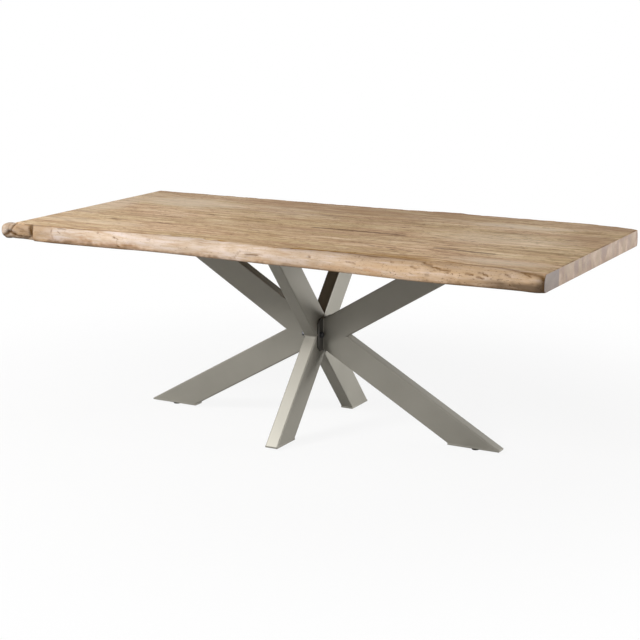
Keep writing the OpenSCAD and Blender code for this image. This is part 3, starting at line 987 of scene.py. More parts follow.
@dataclass
class LiveEdgeTop:
    """The top: seven boards, the first and the last with a live edge, and a rounded stump at the front left.

    Lengths in the tables are in millimetres, but the places along the tables of tones and bark are in
    metres. Edge knots say, from -1 to 1 along the top, how far the upper arris, the belly and the lower
    arris lie inside the outline. Stump knots give, from 0 to 1 along the stump, its half height as a share
    and how far its middle lies inside. Tone knots give the lightness of face and edge and the face's
    saturation. Bark lines give their place behind the upper arris, half width and strength. Blots are a
    middle, two half axes and a strength. The other tables are marks. Ripples are layers of noise. Zones
    are soft steps along X in metres, and bands are soft steps in the height of the edge from 0 to 1.
    """

    finishes: Finishes
    ease: float = 2 * MM
    joint_dip: float = 0.25 * MM
    joint_land: float = 1.2 * MM
    station: float = 5 * MM
    row: float = 7 * MM
    under_row: float = 30 * MM
    arc_points: int = 15
    belly_at: float = 0.45
    pow_up: float = 1.7
    pow_low: float = 3.5
    stump_length: float = 146 * MM
    stump_step: float = 14 * MM
    stump_round: float = 20 * MM
    stump_pow: float = 2.6
    stump_deep: float = 1.12
    stump_points: int = 56
    stump_station: float = 2.5 * MM
    fibre_length: float = 0.12
    fibre_width: float = 0.011
    fibre_depth: float = 0.25 * MM
    swell_size: float = 0.05
    swell_depth: float = 1.8 * MM
    joint_guard: float = 3 * MM
    crease: float = 50.0
    under_shade: float = 0.35
    board_tones: tuple[float, ...] = (0.97, 1.0, 0.96, 1.02, 0.98, 1.01, 0.96)
    flecks: int = 90
    rim_ripples: Ripples = (((30, 0, 0), 3, 4 * MM), ((110, 60, 0), 5, 2 * MM))
    streak_ripples: Ripples = (((45, 0, 0), 11, 2.5 * MM), ((160, 0, 0), 12, 1.5 * MM))
    level_ripples: Ripples = (((26, 0, 30), 21, 0.12), ((90, 0, 90), 22, 0.08))
    tan_ripples: Ripples = (((9, 0, 40), 31, 0.08),)
    scar_ripples: Ripples = (((200, 0, 0), 41, 1.2 * MM),)
    blot_ripples: Ripples = (((8, 60, 0), 51, 0.35), ((30, 180, 0), 52, 0.2))
    bark_ripples: Ripples = (((22, 0, 0), 61, 2 * MM),)
    back_ripples: Ripples = (((17, 0, 0), 71, 0.45),)
    sawn_ripples: Ripples = (((0, 38, 0), 72, 0.35),)
    left_zone: Rows = ((-0.88, -0.80), (-0.38, -0.55))
    pale_zone: Rows = ((0.08, 0.20), (0.85, 0.42))
    foot_shades: Triple = (0.42, 0.40, -0.30)
    foot_band: Span = (0.24, 0.02)
    foot_lift: float = 0.14
    # Painted shade at the foot of the edge towards the right end: share, band in height and zone along X.
    low_bands: tuple[tuple[float, Span, Span], ...] = (
        (0.22, (0.55, 0.10), (0.70, 0.85)), (0.95, (0.58, 0.24), (0.82, 0.96)))
    warm_bands: tuple[Span, Span] = ((0.52, 0.20), (0.4, 0.1))
    warm_share: float = 0.30
    tan_zones: Rows = ((-0.25, 0.75), (-0.82, -0.86))
    tan_shares: Span = (0.9, 0.95)
    speck_zone: Span = (0.25, 0.6)
    speck_shares: Span = (0.45, 0.55)
    # The second lobe zone with the first lobe share paints a shadow where the edge steps back beside the
    # stump.
    lobe_zones: Rows = ((-1.03, -1.01), (-0.965, -0.938))
    lobe_heights: Span = (14 * MM, 19 * MM)
    lobe_shares: Triple = (0.95, 0.85, 0.15)
    pith_side: float = 0.05
    pith_depths: Span = (0.03, 0.11)
    log_step: float = 3.1
    grain_bends: Rows = ((1.7, 70, 0.012), (1.1, 90, 0.020))
    front_knots: Rows = (
        (-1.0, 40, 24, 34), (-0.91, 30, 14, 22), (-0.83, 29, 10, 18), (-0.75, 30, 14, 22),
        (-0.57, 54, 25, 32), (-0.4, 75, 36, 44), (-0.16, 73, 32, 40), (0.02, 48, 24, 34), (0.22, 64, 22, 34),
        (0.43, 76, 10, 18), (0.62, 62, 0, 10), (0.8, 84, 8, 22), (0.92, 56, 12, 26), (0.975, 38, 8, 22),
        (1.0, 28, 19, 36))
    back_knots: Rows = (
        (-1.0, 52, 38, 54), (-0.67, 48, 34, 50), (-0.35, 45, 30, 44), (0.07, 40, 27, 42), (0.22, 24, 13, 30),
        (0.29, 12, 0, 18), (0.32, 15, 3, 20), (0.345, 27, 14, 30), (0.47, 28, 15, 32), (0.7, 25, 12, 28),
        (0.85, 32, 18, 34), (0.965, 56, 42, 56), (1.0, 77, 66, 78))
    stump_knots: Rows = (
        (0.0, 0.16, 40), (0.005, 0.34, 39.5), (0.02, 0.57, 38), (0.06, 0.79, 37), (0.12, 0.93, 36),
        (0.2, 0.99, 36), (0.28, 0.97, 38), (0.33, 0.92, 40), (0.38, 0.96, 42), (0.55, 0.99, 46),
        (0.85, 0.96, 54), (1.0, 0.86, 60))
    tone_knots: Rows = (
        (-1.1, 0.98, 0.6, 0.82), (-0.85, 0.98, 0.62, 0.84), (-0.6, 0.99, 0.8, 0.84),
        (-0.3, 0.92, 0.74, 0.88), (0.0, 0.89, 0.82, 0.91), (0.2, 0.92, 0.8, 0.9), (0.45, 1.03, 0.93, 0.88),
        (0.7, 1.15, 1.09, 0.85), (0.85, 1.17, 1.04, 0.85), (1.1, 1.06, 0.88, 0.9))
    streaks: Rows = (
        (10, -50, 380, -54, 9, 1.0), (585, -232, 805, -250, 10, 1.0), (-800, -236, -500, -240, 6, 0.35),
        (-765, -238, -725, -239, 7, 0.75), (-555, -238, -515, -237, 7, 0.5), (-700, -12, -450, -85, 4, 0.3),
        (250, -162, 800, -172, 4, 0.22), (-300, 60, 240, 52, 5, 0.22), (-660, -60, -150, -70, 5, 0.22),
        (-100, 215, 500, 205, 5, 0.2), (900, 125, 1030, 150, 6, 0.45), (300, 280, 345, 281, 6, 0.6),
        (-900, 20, -450, 12, 5, 0.22), (520, 45, 1020, 30, 5, 0.24), (-400, 332, 160, 320, 6, 0.25))
    pale_blots: Rows = (
        (660, 315, 200, 60, 0.8), (-720, 250, 260, 130, 0.6), (-980, 100, 100, 300, 0.4),
        (-250, 300, 300, 50, 0.35), (350, 330, 250, 40, 0.35), (-800, -330, 350, 50, 0.3),
        (720, 20, 300, 120, 0.35), (880, -370, 200, 50, 0.5), (-200, 200, 200, 60, 0.3))
    russet_blots: Rows = (
        (-260, 445, 200, 45, 0.9), (270, 450, 160, 45, 0.9), (560, 455, 140, 40, 0.8),
        (1000, 430, 140, 60, 0.9), (980, 190, 120, 95, 0.8), (-690, -130, 100, 28, 0.6),
        (40, -185, 70, 40, 0.4), (0, 455, 1100, 30, 0.35), (840, -300, 200, 40, 0.4),
        (300, -400, 250, 30, 0.35), (0, 370, 600, 120, 0.85))
    knot_at: Span = (0.947, 0.116)
    warm_patch: Rows = ((455, 723.5, 515, 719.5, 7, 0.75),)
    back_bark: Rows = ((320, 500, 380, 500, 30, 0.6),)
    bark_lines: tuple[Rows, ...] = (
        ((-1.03, 0, 2.5, 0), (-0.88, 0, 2.8, 0.6), (-0.6, 0, 2.6, 0.75), (-0.38, 0, 2.5, 0.6),
         (-0.34, 0, 3, 0.85), (-0.28, 0, 2.5, 0.2), (-0.2, 0, 2.5, 0.2), (-0.15, 0, 3, 0.8),
         (-0.1, 0, 2.5, 0.15), (0.06, 0, 3, 0.15), (0.13, 0, 6, 0.7), (0.22, 3, 7.5, 1.0), (0.3, 3, 7, 0.9),
         (0.36, 0, 7, 0.85), (0.43, -9, 8, 0.85), (0.48, -13, 8, 0.85), (0.54, -8, 7, 0.75),
         (0.6, -10, 7, 0.8), (0.65, -13, 6, 0.7), (0.69, -30, 6, 0), (1.09, -30, 6, 0)),
        ((0.08, 2, 12, 0), (0.16, 2, 14, 0.45), (0.26, 2, 15, 0.42), (0.36, 2, 20, 0.48),
         (0.43, -3, 27, 0.54), (0.5, 2, 34, 0.54), (0.56, 8, 40, 0.52), (0.63, 14, 42, 0.5),
         (0.69, -6, 36, 0.42), (0.76, -24, 24, 0.36), (0.82, -28, 20, 0), (1.09, -28, 20, 0)),
        ((0.6, 52, 9, 0), (0.66, 44, 9, 0.4), (0.7, 33, 8, 0.6), (0.752, 9, 7, 0.7), (0.81, -7, 7, 0.8),
         (0.86, -10, 7, 0.7), (0.92, -9, 7, 0.85), (0.95, -10, 7, 0.75), (1.0, -13, 7, 0.85),
         (1.09, -10, 6, 0.8)))
    scars: Rows = (
        (-846, 758, -842, 738, 1.6, 0.55, 1.4), (-842, 738, -834, 716, 1.4, 0.4, 1),
        (-818, 759, -781, 757, 1.8, 0.6, 1), (-817, 750, -802, 739, 1.6, 0.6, 1),
        (-646, 756, -642, 753, 2.5, 0.6, 2), (-573, 746, -566, 742, 2.5, 0.8, 2),
        (-558, 740, -553, 737, 2.2, 0.7, 2), (-556, 713, -546, 710, 3, 0.9, 3),
        (-437, 747, -425, 747, 2, 0.6, 1), (-61, 712, -36, 740, 2.5, 0.4, 2.2),
        (-36, 740, 55, 734, 2.5, 0.25, 1.5), (-12, 732, 35, 731, 2, 0.9, 1.5),
        (236, 744, 240, 743, 3.2, 1.0, 4), (381, 741, 418, 739, 1.8, 0.7, 1),
        (415, 758.7, 418, 758, 2.2, 0.8, 1), (435, 752, 438, 751, 2, 0.6, 1),
        (539, 753.5, 552, 753, 1.8, 0.6, 1), (579, 756, 585, 755.5, 1.8, 0.6, 1),
        (620, 749.2, 630, 747.5, 2.2, 0.9, 1.5), (634, 745.8, 646, 743, 2.2, 0.9, 1.5),
        (655, 760, 696, 754.5, 2.6, 1.0, 2.5), (696, 754.5, 726, 748.5, 2.6, 1.0, 2.5),
        (726, 748.5, 762, 746, 2.2, 0.9, 2), (695, 742.8, 715, 744, 1.8, 0.6, 1),
        (752, 742, 757, 741, 2, 0.7, 1), (650, 746, 655, 745, 2, 0.7, 1), (682, 729, 694, 729, 1.8, 0.5, 1),
        (816, 742.5, 843, 741.5, 2, 0.95, 1.5), (858, 736.5, 881, 733.5, 2.2, 1.0, 2),
        (869, 747.8, 893, 742, 2, 0.9, 1.5), (855, 748, 866, 747, 1.6, 0.6, 1),
        (836, 726, 841, 725.5, 2, 0.8, 1), (945, 750, 967, 745.8, 2, 0.9, 1.5),
        (1012, 756.6, 1036, 752.3, 2, 0.9, 1.5), (1008, 758.5, 1056, 758, 1.5, 0.5, 1))
    stump_scars: Rows = (
        (-1020, 760, -1031, 730, 3.8, 1.0, 3.5), (-1036, 731, -1012, 722, 8, 1.0, 3),
        (-1034, 728, -1066, 712, 6.2, 1.0, 3), (-1066, 712, -1083, 722, 5, 0.7, 1),
        (-1014, 719, -985, 716, 3.5, 0.9, 1.2), (-985, 716, -936, 714, 3, 0.7, 1),
        (-1005, 749, -978, 742, 4, 0.45, 0.5), (-988, 735, -962, 733, 4, 0.5, 0.5),
        (-952, 754, -943, 724, 7, 0.85, 0.8), (-1072, 745, -1064, 738, 2.5, 0.5, 0.8))
    dents: Rows = (
        (-200, 752, -130, 750, 16, 0.0, 4), (0, 722, 40, 722, 12, 0.0, 3),
        (-900, 725, -850, 728, 14, 0.0, 3), (280, 728, 340, 726, 14, 0.0, 3),
        (700, 735, 780, 730, 14, 0.0, 3), (-500, 722, -420, 724, 14, 0.0, 3))

    def __post_init__(self) -> None:
        """Takes the top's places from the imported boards."""
        boxes = [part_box(f"top_board_{i}") for i in range(1, 8)]
        plain = boxes[1:-1]
        self.x0, self.x1 = plain[0][0].x, plain[0][1].x
        self.z0, self.z1 = plain[0][0].z, plain[0][1].z
        self.tip = boxes[0][0].x
        self.y_front, self.y_back = boxes[0][0].y, boxes[-1][1].y
        self.joints = [self.y_front] + [b[0].y for b in plain] + [plain[-1][1].y, self.y_back]
        self.middle, self.length = (self.x0 + self.x1) / 2, self.x1 - self.x0
        self.front = KnotCurve(self.front_knots, MM, MM, MM)
        self.back = KnotCurve(self.back_knots, MM, MM, MM)
        self.tone = KnotCurve(self.tone_knots, 1, 1, 1)
        self.relief = self.relief_tool()

    def half_share(self, x: np.ndarray) -> np.ndarray:
        """Place along the top from -1 at the left end to 1 at the right end."""
        return 2 * (x - self.middle) / self.length

    def stations(self) -> tuple[np.ndarray, np.ndarray]:
        """Works out where the cross-sections stand.

        Returns:
            Their places along X, and how far the eased ends draw each one in.
        """
        turn = np.radians([90, 60, 30])
        steps = round((self.length - 2 * self.ease) / self.station)
        inner = np.linspace(self.x0 + self.ease, self.x1 - self.ease, steps + 1)
        left = self.x0 + self.ease * (1 - np.sin(turn))
        right = self.x1 - self.ease * (1 - np.sin(turn[::-1]))
        inset = self.ease * (1 - np.cos(turn))
        return np.concatenate([left, inner, right]), np.concatenate([inset, 0 * inner, inset[::-1]])

    def under_steps(self, width: float) -> int:
        """Number of points across the underside of a board."""
        return max(2, round(width / self.under_row)) + 1

    def top_row(self, width: float, glued_far: bool) -> tuple[np.ndarray, np.ndarray]:
        """Spaces the points across the top of a board, with a hairline dip at its glue joints.

        Args:
            width: The board's usual width.
            glued_far: Whether the far side is a glue joint too.

        Returns:
            Shares of the width, and how deep each point dips.
        """
        land = self.joint_land / width
        steps = round(width / self.row)
        shares = np.concatenate([[0.0], np.linspace(land, 1 - land if glued_far else 1.0, steps + 1)])
        dips = np.zeros(len(shares))
        dips[0] = self.joint_dip
        if glued_far:
            shares, dips = np.append(shares, 1.0), np.append(dips, self.joint_dip)
        return shares, dips

    def plain_rings(self, y0: float, y1: float) -> np.ndarray:
        """Rings of a board between two glue joints.

        Args:
            y0: The front joint.
            y1: The back joint.

        Returns:
            The rings' points.
        """
        xs, insets = self.stations()
        shares, dips = self.top_row(y1 - y0, True)
        under = np.linspace(y0, y1, self.under_steps(y1 - y0))
        ys = np.concatenate([under, y1 + (y0 - y1) * shares])
        rings = np.empty((len(xs), len(ys), 3))
        for ring, x, e in zip(rings, xs, insets):
            ring[:, 0] = x
            ring[:, 1] = ys
            ring[:, 2] = np.concatenate([np.full(len(under), self.z0 + e), self.z1 - e - dips])
        return rings

    def edge_arc(self, insets: Sequence[float], z0: float, z1: float) -> tuple[np.ndarray, np.ndarray]:
        """Rounds a live edge from its upper arris over the belly to its lower arris.

        Args:
            insets: How far upper arris, belly and lower arris lie inside the outline.
            z0: Height of the underside.
            z1: Height of the face.

        Returns:
            How far each point lies inside the outline, and its height.
        """
        top_in, belly_in, low_in = insets
        belly_z = self.z0 + self.belly_at * (self.z1 - self.z0)
        upper = np.radians(np.linspace(0, 90, self.arc_points))
        lower = upper[1:]
        inside = np.concatenate([top_in + (belly_in - top_in) * np.sin(upper) ** (2 / self.pow_up),
                                 low_in + (belly_in - low_in) * np.cos(lower) ** (2 / self.pow_low)])
        heights = np.concatenate([belly_z + (z1 - belly_z) * np.cos(upper) ** (2 / self.pow_up),
                                  belly_z - (belly_z - z0) * np.sin(lower) ** (2 / self.pow_low)])
        return inside, heights

    def live_rings(self, knots: KnotCurve, line: float, joint: float, stepped: bool) -> np.ndarray:
        """Rings of a board with one live edge.

        Args:
            knots: How far upper arris, belly and lower arris lie inside the line.
            line: The y of the overall outline.
            joint: The y of the glue joint.
            stepped: Whether the edge steps back beside the stump.

        Returns:
            The rings' points.
        """
        xs, insets = self.stations()
        out = math.copysign(1, line - joint)
        shares, dips = self.top_row(abs(line - joint), False)
        under_shares = np.linspace(0, 1, self.under_steps(abs(line - joint)))[1:]
        rings = []
        step_end = self.tip + self.stump_length
        for x, e in zip(xs, insets):
            u = self.half_share(np.array([x]))
            top_in, belly_in, low_in = (knots.at(c, u)[0] + e for c in (1, 2, 3))
            if stepped:
                t = min(max((x - step_end) / self.stump_round, 0.0), 1.0)
                share = 1 - math.sqrt(1 - (1 - t) ** 2)
                belly_in, low_in = belly_in + self.stump_step * share, low_in + self.stump_step * share
            z0, z1 = self.z0 + e, self.z1 - e
            inside, heights = self.edge_arc((top_in, belly_in, low_in), z0, z1)
            arris = line - out * top_in
            top = np.stack([joint + (arris - joint) * shares[:-1], z1 - dips[:-1]], 1)
            arc = np.stack([line - out * inside, heights], 1)
            foot = arc[-1, 0]
            under = np.stack([foot + (joint - foot) * under_shares, np.full(len(under_shares), z0)], 1)
            ring = np.concatenate([top, arc, under])[::-1 if out > 0 else 1]
            rings.append(np.column_stack([np.full(len(ring), x), ring]))
        return np.array(rings)

    def stump_rings(self) -> np.ndarray:
        """Rings of the rounded stump at the left end of the front edge.

        Returns:
            The rings' points.
        """
        knots = KnotCurve(self.stump_knots, 1, MM)
        near = np.array([0.0, 0.005, 0.012, 0.02])
        shares = np.concatenate([near, np.arange(0.035, 1.0, self.stump_station / self.stump_length), [1.0]])
        angles = 2 * np.pi * (np.arange(self.stump_points) + 0.5) / self.stump_points
        bow_y, bow_z = (np.sign(bow) * np.abs(bow) ** (2 / self.stump_pow)
                        for bow in (np.cos(angles), np.sin(angles)))
        half = (self.z1 - self.z0) / 2
        radius = knots.at(1, shares)[:, None] * half
        ys = self.y_front + knots.at(2, shares)[:, None] + radius * self.stump_deep * bow_y
        zs = self.z0 + half + radius * bow_z
        xs = self.tip + shares[:, None] * self.stump_length + 0 * ys
        return np.stack([xs, ys, zs], axis=2)

    def join_stump(self, board: bpy.types.Object) -> bpy.types.Object:
        """Joins the stump to the front board in one closed skin.

        Args:
            board: The front board.

        Returns:
            The joined board.
        """
        stump = ring_solid("stump", self.stump_rings())
        union = board.modifiers.new("union", "BOOLEAN")
        union.operation = "UNION"
        union.solver = "MANIFOLD"
        union.object = stump
        mesh = modified_mesh(board)
        discard(board)
        discard(stump)
        return make_object("front_board", mesh)

    def arris_gap(self, points: np.ndarray) -> tuple[np.ndarray, np.ndarray]:
        """How far points lie inside the upper arris of each live edge.

        Args:
            points: Points of the top.

        Returns:
            Distance behind the front arris, and in front of the back arris.
        """
        u = self.half_share(points[:, 0])
        front = points[:, 1] - (self.y_front + self.front.at(1, u))
        back = (self.y_back - self.back.at(1, u)) - points[:, 1]
        return front, back

    def marks(self, points: np.ndarray) -> dict[str, np.ndarray]:
        """Works out the stains and zones of the wood at points of the top.

        Args:
            points: Points of the top.

        Returns:
            Values between 0 and 1 by attribute name, and the depth of scars in metres.
        """
        x = points[:, 0]
        front_gap, back_gap = self.arris_gap(points)
        ragged = ripple(points, self.rim_ripples)
        stump_end = self.tip + self.stump_length
        on_stump = smooth_step(x, stump_end + 2 * MM, stump_end - 2 * MM)
        past_end = smooth_step(x, self.x0 - 1 * MM, self.x0 - 3 * MM)
        live = np.maximum.reduce([past_end, *(smooth_step(gap + ragged, 1.5 * MM, -2.5 * MM)
                                              for gap in (front_gap, back_gap))])
        marks = {"live": live}
        marks |= {name: share * (1 - live) for name, share in self.flat_stains(points).items()}
        marks |= self.edge_colours(points, on_stump, on_stump * live)
        bark = self.bark(points, front_gap, back_gap + ragged)
        marks["depth"], crevices = self.carve(points, front_gap, on_stump)
        marks["bark"] = np.clip(np.maximum(bark, crevices), 0, 1)
        return marks

    def flat_stains(self, points: np.ndarray) -> dict[str, np.ndarray]:
        """Works out the stains of the planed face, as if it went on over the live edges.

        Args:
            points: Points of the top.

        Returns:
            The dark stain and the pale and russet patches, by attribute name.
        """
        x, y, _ = points.T
        frayed = y + ripple(points, self.streak_ripples)
        knot = np.hypot((x - self.knot_at[0]) / 2.2, y - self.knot_at[1])
        sawn_rim = 0.45 + ripple(points, self.sawn_ripples)
        stain = np.maximum.reduce([
            strongest(self.streaks, x, frayed), strongest(self.small_marks(), x, y),
            0.8 * np.exp(-(knot / (7 * MM)) ** 2),
            sawn_rim * smooth_step(x, self.x1 - 9 * MM, self.x1 - 3 * MM)])
        return {"stain": stain, "pale": self.blots(points, self.pale_blots),
                "russet": self.blots(points, self.russet_blots)}

    def small_marks(self) -> list[tuple[float, ...]]:
        """Scatters the small dark marks of the top, the same in every run.

        They are the row of pits in the front half, the slanting saw marks at the right, the faint slanting
        marks in the middle, and short flecks over the right half, where the grain is coarser.

        Returns:
            The values of each mark.
        """
        pits, saw, slant, fleck = (np.random.default_rng(seed) for seed in (7, 8, 9, 10))
        pit_ys = np.linspace(-267, -340, 9) + pits.uniform(-12, 12, 9)
        rows = [(x, y, x + pits.uniform(6, 16), y, 6, pits.uniform(0.8, 1.1))
                for x, y in zip(np.linspace(277, 527, 9), pit_ys)]
        for x in np.linspace(660, 880, 11):
            y = saw.uniform(20, 100)
            rows.append((x, y, x + 12, y + saw.uniform(20, 50), 3.2, saw.uniform(0.3, 0.6)))
        rows += [(x, y, x - 10, y - 30, 3, slant.uniform(0.2, 0.4))
                 for x, y in zip(np.linspace(40, 170, 6), np.linspace(116, 30, 6))]
        for _ in range(self.flecks):
            x, y = fleck.uniform(150, 1040), fleck.uniform(-420, 420)
            length, lean = fleck.uniform(8, 22), fleck.uniform(-12, 4)
            rows.append((x, y, x + length, y + lean, fleck.uniform(3.5, 5), fleck.uniform(0.15, 0.5)))
        return rows

    def blots(self, points: np.ndarray, rows: Rows) -> np.ndarray:
        """Soft patches with frayed rims.

        Args:
            points: Points of the top.
            rows: The values of each patch.

        Returns:
            The strongest patch at each point.
        """
        frayed = ripple(points, self.blot_ripples)
        along, across = points[:, 0] / MM, points[:, 1] / MM
        return np.maximum.reduce([
            strength * smooth_step(np.hypot((along - x) / half_x, (across - y) / half_y) + frayed, 1.25, 0.35)
            for x, y, half_x, half_y, strength in rows])

    def level(self, points: np.ndarray) -> np.ndarray:
        """Height in the slab from 0 to 1, with ripples so that the bands on the edge have uneven rims.

        Args:
            points: Points of the top.

        Returns:
            The height at each point.
        """
        return (points[:, 2] - self.z0) / (self.z1 - self.z0) + ripple(points, self.level_ripples)

    def pale_foot(self, x: np.ndarray) -> np.ndarray:
        """Where the foot of the front edge is paler, right of the middle."""
        return within(x, *self.pale_zone)

    def edge_colours(self, points: np.ndarray, on_stump: np.ndarray,
                     lobe: np.ndarray) -> dict[str, np.ndarray]:
        """Works out the colour bands of the live edges.

        Args:
            points: Points of the top.
            on_stump: How far each point belongs to the stump.
            lobe: The same for the stump's live side only.

        Returns:
            The low band of painted shade, tan, warm brown and specks, by attribute name.
        """
        x, _, z = points.T
        level = self.level(points)
        left = within(x, *self.left_zone)
        usual, darker, paler = self.foot_shades
        foot = usual + darker * left + paler * self.pale_foot(x)
        high_warm, low_warm = (smooth_step(level, *band) for band in self.warm_bands)
        warm = np.maximum(left * high_warm + self.warm_share * low_warm, strongest(self.warm_patch, x, z))
        # low is painted shade towards the foot of the edge, with a brown tint, deeper at the left and at the
        # right end.
        low = np.maximum.reduce([
            foot * smooth_step(level - self.foot_lift * left, *self.foot_band),
            *(share * smooth_step(level, *band) * smooth_step(x, *zone)
              for share, band, zone in self.low_bands)])
        rippled = (x + ripple(points, self.tan_ripples), x)
        tan = np.maximum(*(share * smooth_step(at, *zone)
                           for share, at, zone in zip(self.tan_shares, rippled, self.tan_zones)))
        # A painted shadow darkens the stump's lobe towards the step of the edge.
        start, step_painted_shadow = (smooth_step(x, *zone) for zone in self.lobe_zones)
        right_lobe = lobe * smooth_step(z - self.z0, *self.lobe_heights) * start
        lobe_painted_shadow, tan_share, warm_share = self.lobe_shares
        elsewhere = 1 - on_stump
        specks, more_specks = self.speck_shares
        return {"low": np.maximum(low * elsewhere, lobe_painted_shadow * right_lobe * step_painted_shadow),
                "tan": np.maximum(tan * elsewhere, tan_share * right_lobe),
                "warm": np.maximum(np.clip(warm, 0, 1) * elsewhere, warm_share * right_lobe),
                "specks": specks + more_specks * smooth_step(x, *self.speck_zone)}

    def bark(self, points: np.ndarray, front_gap: np.ndarray, back_gap: np.ndarray) -> np.ndarray:
        """Works out where bark is left: along the front shoulder, at the foot and behind the back arris.

        Args:
            points: Points of the top.
            front_gap: Distance behind the front arris.
            back_gap: Distance in front of the back arris, with its ragged rim.

        Returns:
            The bark's strength at each point.
        """
        x, y, _ = points.T
        foot = (0.30 - 0.22 * self.pale_foot(x)) * smooth_step(self.level(points), 0.14, 0.0)
        rim = 0.42 + ripple(points, self.back_ripples) + strongest(self.back_bark, x, y)
        shares = [foot, rim * np.exp(-((back_gap - 3 * MM) / (8 * MM)) ** 2)]
        drift = ripple(points, self.bark_ripples)
        for line in self.bark_lines:
            knots = KnotCurve(line, MM, MM, 1)
            middle, half, strength = (knots.at(c, x) for c in (1, 2, 3))
            shares.append(strength * np.exp(-((front_gap - middle + drift) / half) ** 2))
        return np.maximum.reduce(shares)

    def carve(self, points: np.ndarray, front_gap: np.ndarray,
              on_stump: np.ndarray) -> tuple[np.ndarray, np.ndarray]:
        """Works out how scars and dents cut and stain the front edge.

        Args:
            points: Points of the top.
            front_gap: Distance behind the front arris.
            on_stump: How far each point belongs to the stump.

        Returns:
            The depth in metres and the stain at each point.
        """
        x, y, z = points.T
        wavering = z + ripple(points, self.scar_ripples)
        on_front = (front_gap < 3 * MM) & (y < self.joints[1])
        stump_front = on_stump * (y < self.y_front + 45 * MM)
        depth, stain = np.zeros(len(points)), np.zeros(len(points))
        for rows, height, zone in ((self.scars, wavering, on_front), (self.dents, z, on_front),
                                   (self.stump_scars, z, stump_front)):
            for mark in (Mark(*row) for row in rows):
                near = mark.share(x, height) * zone
                depth += mark.depth * MM * near
                stain = np.maximum(stain, mark.stain * near)
        return depth, stain

    def relief_tool(self) -> NodeTool:
        """Builds the tree that gives planed and live surfaces their relief.

        Returns:
            The tool. It moves points only into the wood, and dresses both kinds of face.
        """
        tool = NodeTool("wood_relief")
        length, width, depth, swell, swell_depth, seed = (tool.ask(n) for n in (
            "Fibre Length", "Fibre Width", "Fibre Depth", "Swell Size", "Swell Depth", "Seed"))
        face, end = (tool.ask(n, "Material") for n in ("Face Material", "End Material"))
        grain = tool.named("grain", "FLOAT_VECTOR")
        scale = tool.add("ShaderNodeCombineXYZ", None, {"X": length, "Y": width, "Z": width}).outputs[0]
        fibre = tool.noise(tool.vector("DIVIDE", grain, scale), seed=seed)
        stretched = tool.vector("MULTIPLY", grain, (0.22, 1.0, 1.0))
        swelling = tool.noise(stretched, tool.math("DIVIDE", 1.0, swell), 3.0, seed=seed)
        rough = tool.math("MULTIPLY_ADD", tool.math("MULTIPLY", swelling, swell_depth), tool.named("live"),
                          tool.math("MULTIPLY", fibre, depth))
        kept = tool.math("MULTIPLY_ADD", rough, tool.named("guard"), tool.named("depth"))
        offset = tool.add("ShaderNodeVectorMath", {"operation": "SCALE"}, {
            0: tool.add("GeometryNodeInputNormal").outputs[0], "Scale": tool.math("MULTIPLY", kept, -1.0)})
        moved = tool.add("GeometryNodeSetPosition", None, {
            "Geometry": tool.geometry, "Offset": offset.outputs[0]})
        ended = tool.add("GeometryNodeSetMaterial", None, {
            "Geometry": tool.dressed(moved.outputs[0], face), "Selection": tool.named("sawn_end", "BOOLEAN"),
            "Material": end})
        tool.end(ended.outputs[0])
        return tool

    def grain_places(self, points: np.ndarray, index: int) -> np.ndarray:
        """Places points in the log that their board was sawn from, with the pith along X.

        Args:
            points: Points of the board.
            index: Number of the board, from 0 at the front.

        Returns:
            The places in the log.
        """
        random = np.random.default_rng(100 + index)
        middle = (self.joints[index] + self.joints[index + 1]) / 2
        pith_y = middle + random.uniform(-self.pith_side, self.pith_side)
        pith_z = self.z0 - random.uniform(*self.pith_depths)
        grain = points - (0, pith_y, pith_z)
        grain[:, 0] += self.log_step * index
        for axis, (bumps, seed, size) in enumerate(self.grain_bends, 1):
            grain[:, axis] += lattice_noise(points, (bumps, 0, 0), seed + index, size)
        return grain

    def dress(self, board: bpy.types.Object, index: int, name: str) -> None:
        """Gives a board its attributes, relief and materials, and hands it over.

        Args:
            board: The board's clean form.
            index: Number of the board, from 0 at the front.
            name: Name of the finished piece.
        """
        mesh = board.data
        points, normals = read_vectors(mesh.vertices, "co"), read_vectors(mesh.vertices, "normal")
        x, up = points[:, 0], normals[:, 2]
        glued = [j for j in (self.joints[index], self.joints[index + 1]) if self.y_front < j < self.y_back]
        gap = np.min([np.abs(points[:, 1] - j) for j in glued], axis=0)
        marks = self.marks(points)
        on_edge = marks["live"] > 0.5
        # Faces that look down are darkened by up to under_shade: painted shade under the boards.
        painted_shade_factor = 1 - self.under_shade * smooth_step(-up, 0.4, 0.95)
        tone = np.where(on_edge, self.tone.at(2, x), self.tone.at(1, x) * self.board_tones[index])
        marks["guard"] = smooth_step(gap, 0.0, self.joint_guard) * (up > -0.9)
        marks["tone"] = tone * painted_shade_factor
        marks["rich"] = np.where(on_edge, 1.0, self.tone.at(3, x) + 0.4 * marks["bark"])
        for key, values in marks.items():
            mesh.attributes.new(key, "FLOAT", "POINT").data.foreach_set("value", values)
        grain = self.grain_places(points, index)
        mesh.attributes.new("grain", "FLOAT_VECTOR", "POINT").data.foreach_set("vector", grain.ravel())
        centres, facing = read_vectors(mesh.polygons, "center"), read_vectors(mesh.polygons, "normal")
        from_end = np.minimum(np.abs(centres[:, 0] - self.x0), np.abs(centres[:, 0] - self.x1))
        sawn = (from_end < 0.6 * self.ease) & (np.abs(facing[:, 0]) > 0.8)
        mesh.attributes.new("sawn_end", "BOOLEAN", "FACE").data.foreach_set("value", sawn)
        piece = self.relief.run(name, board, {
            "Fibre Length": self.fibre_length, "Fibre Width": self.fibre_width,
            "Fibre Depth": self.fibre_depth, "Swell Size": self.swell_size, "Swell Depth": self.swell_depth,
            "Seed": float(index), "Face Material": self.finishes.long_grain,
            "End Material": self.finishes.end_grain})
        piece.data.shade_smooth()
        piece.data.set_sharp_from_angle(angle=math.radians(self.crease))
        place_piece(piece, TABLE, Slot.WOOD, f"top_board_{index + 1}")

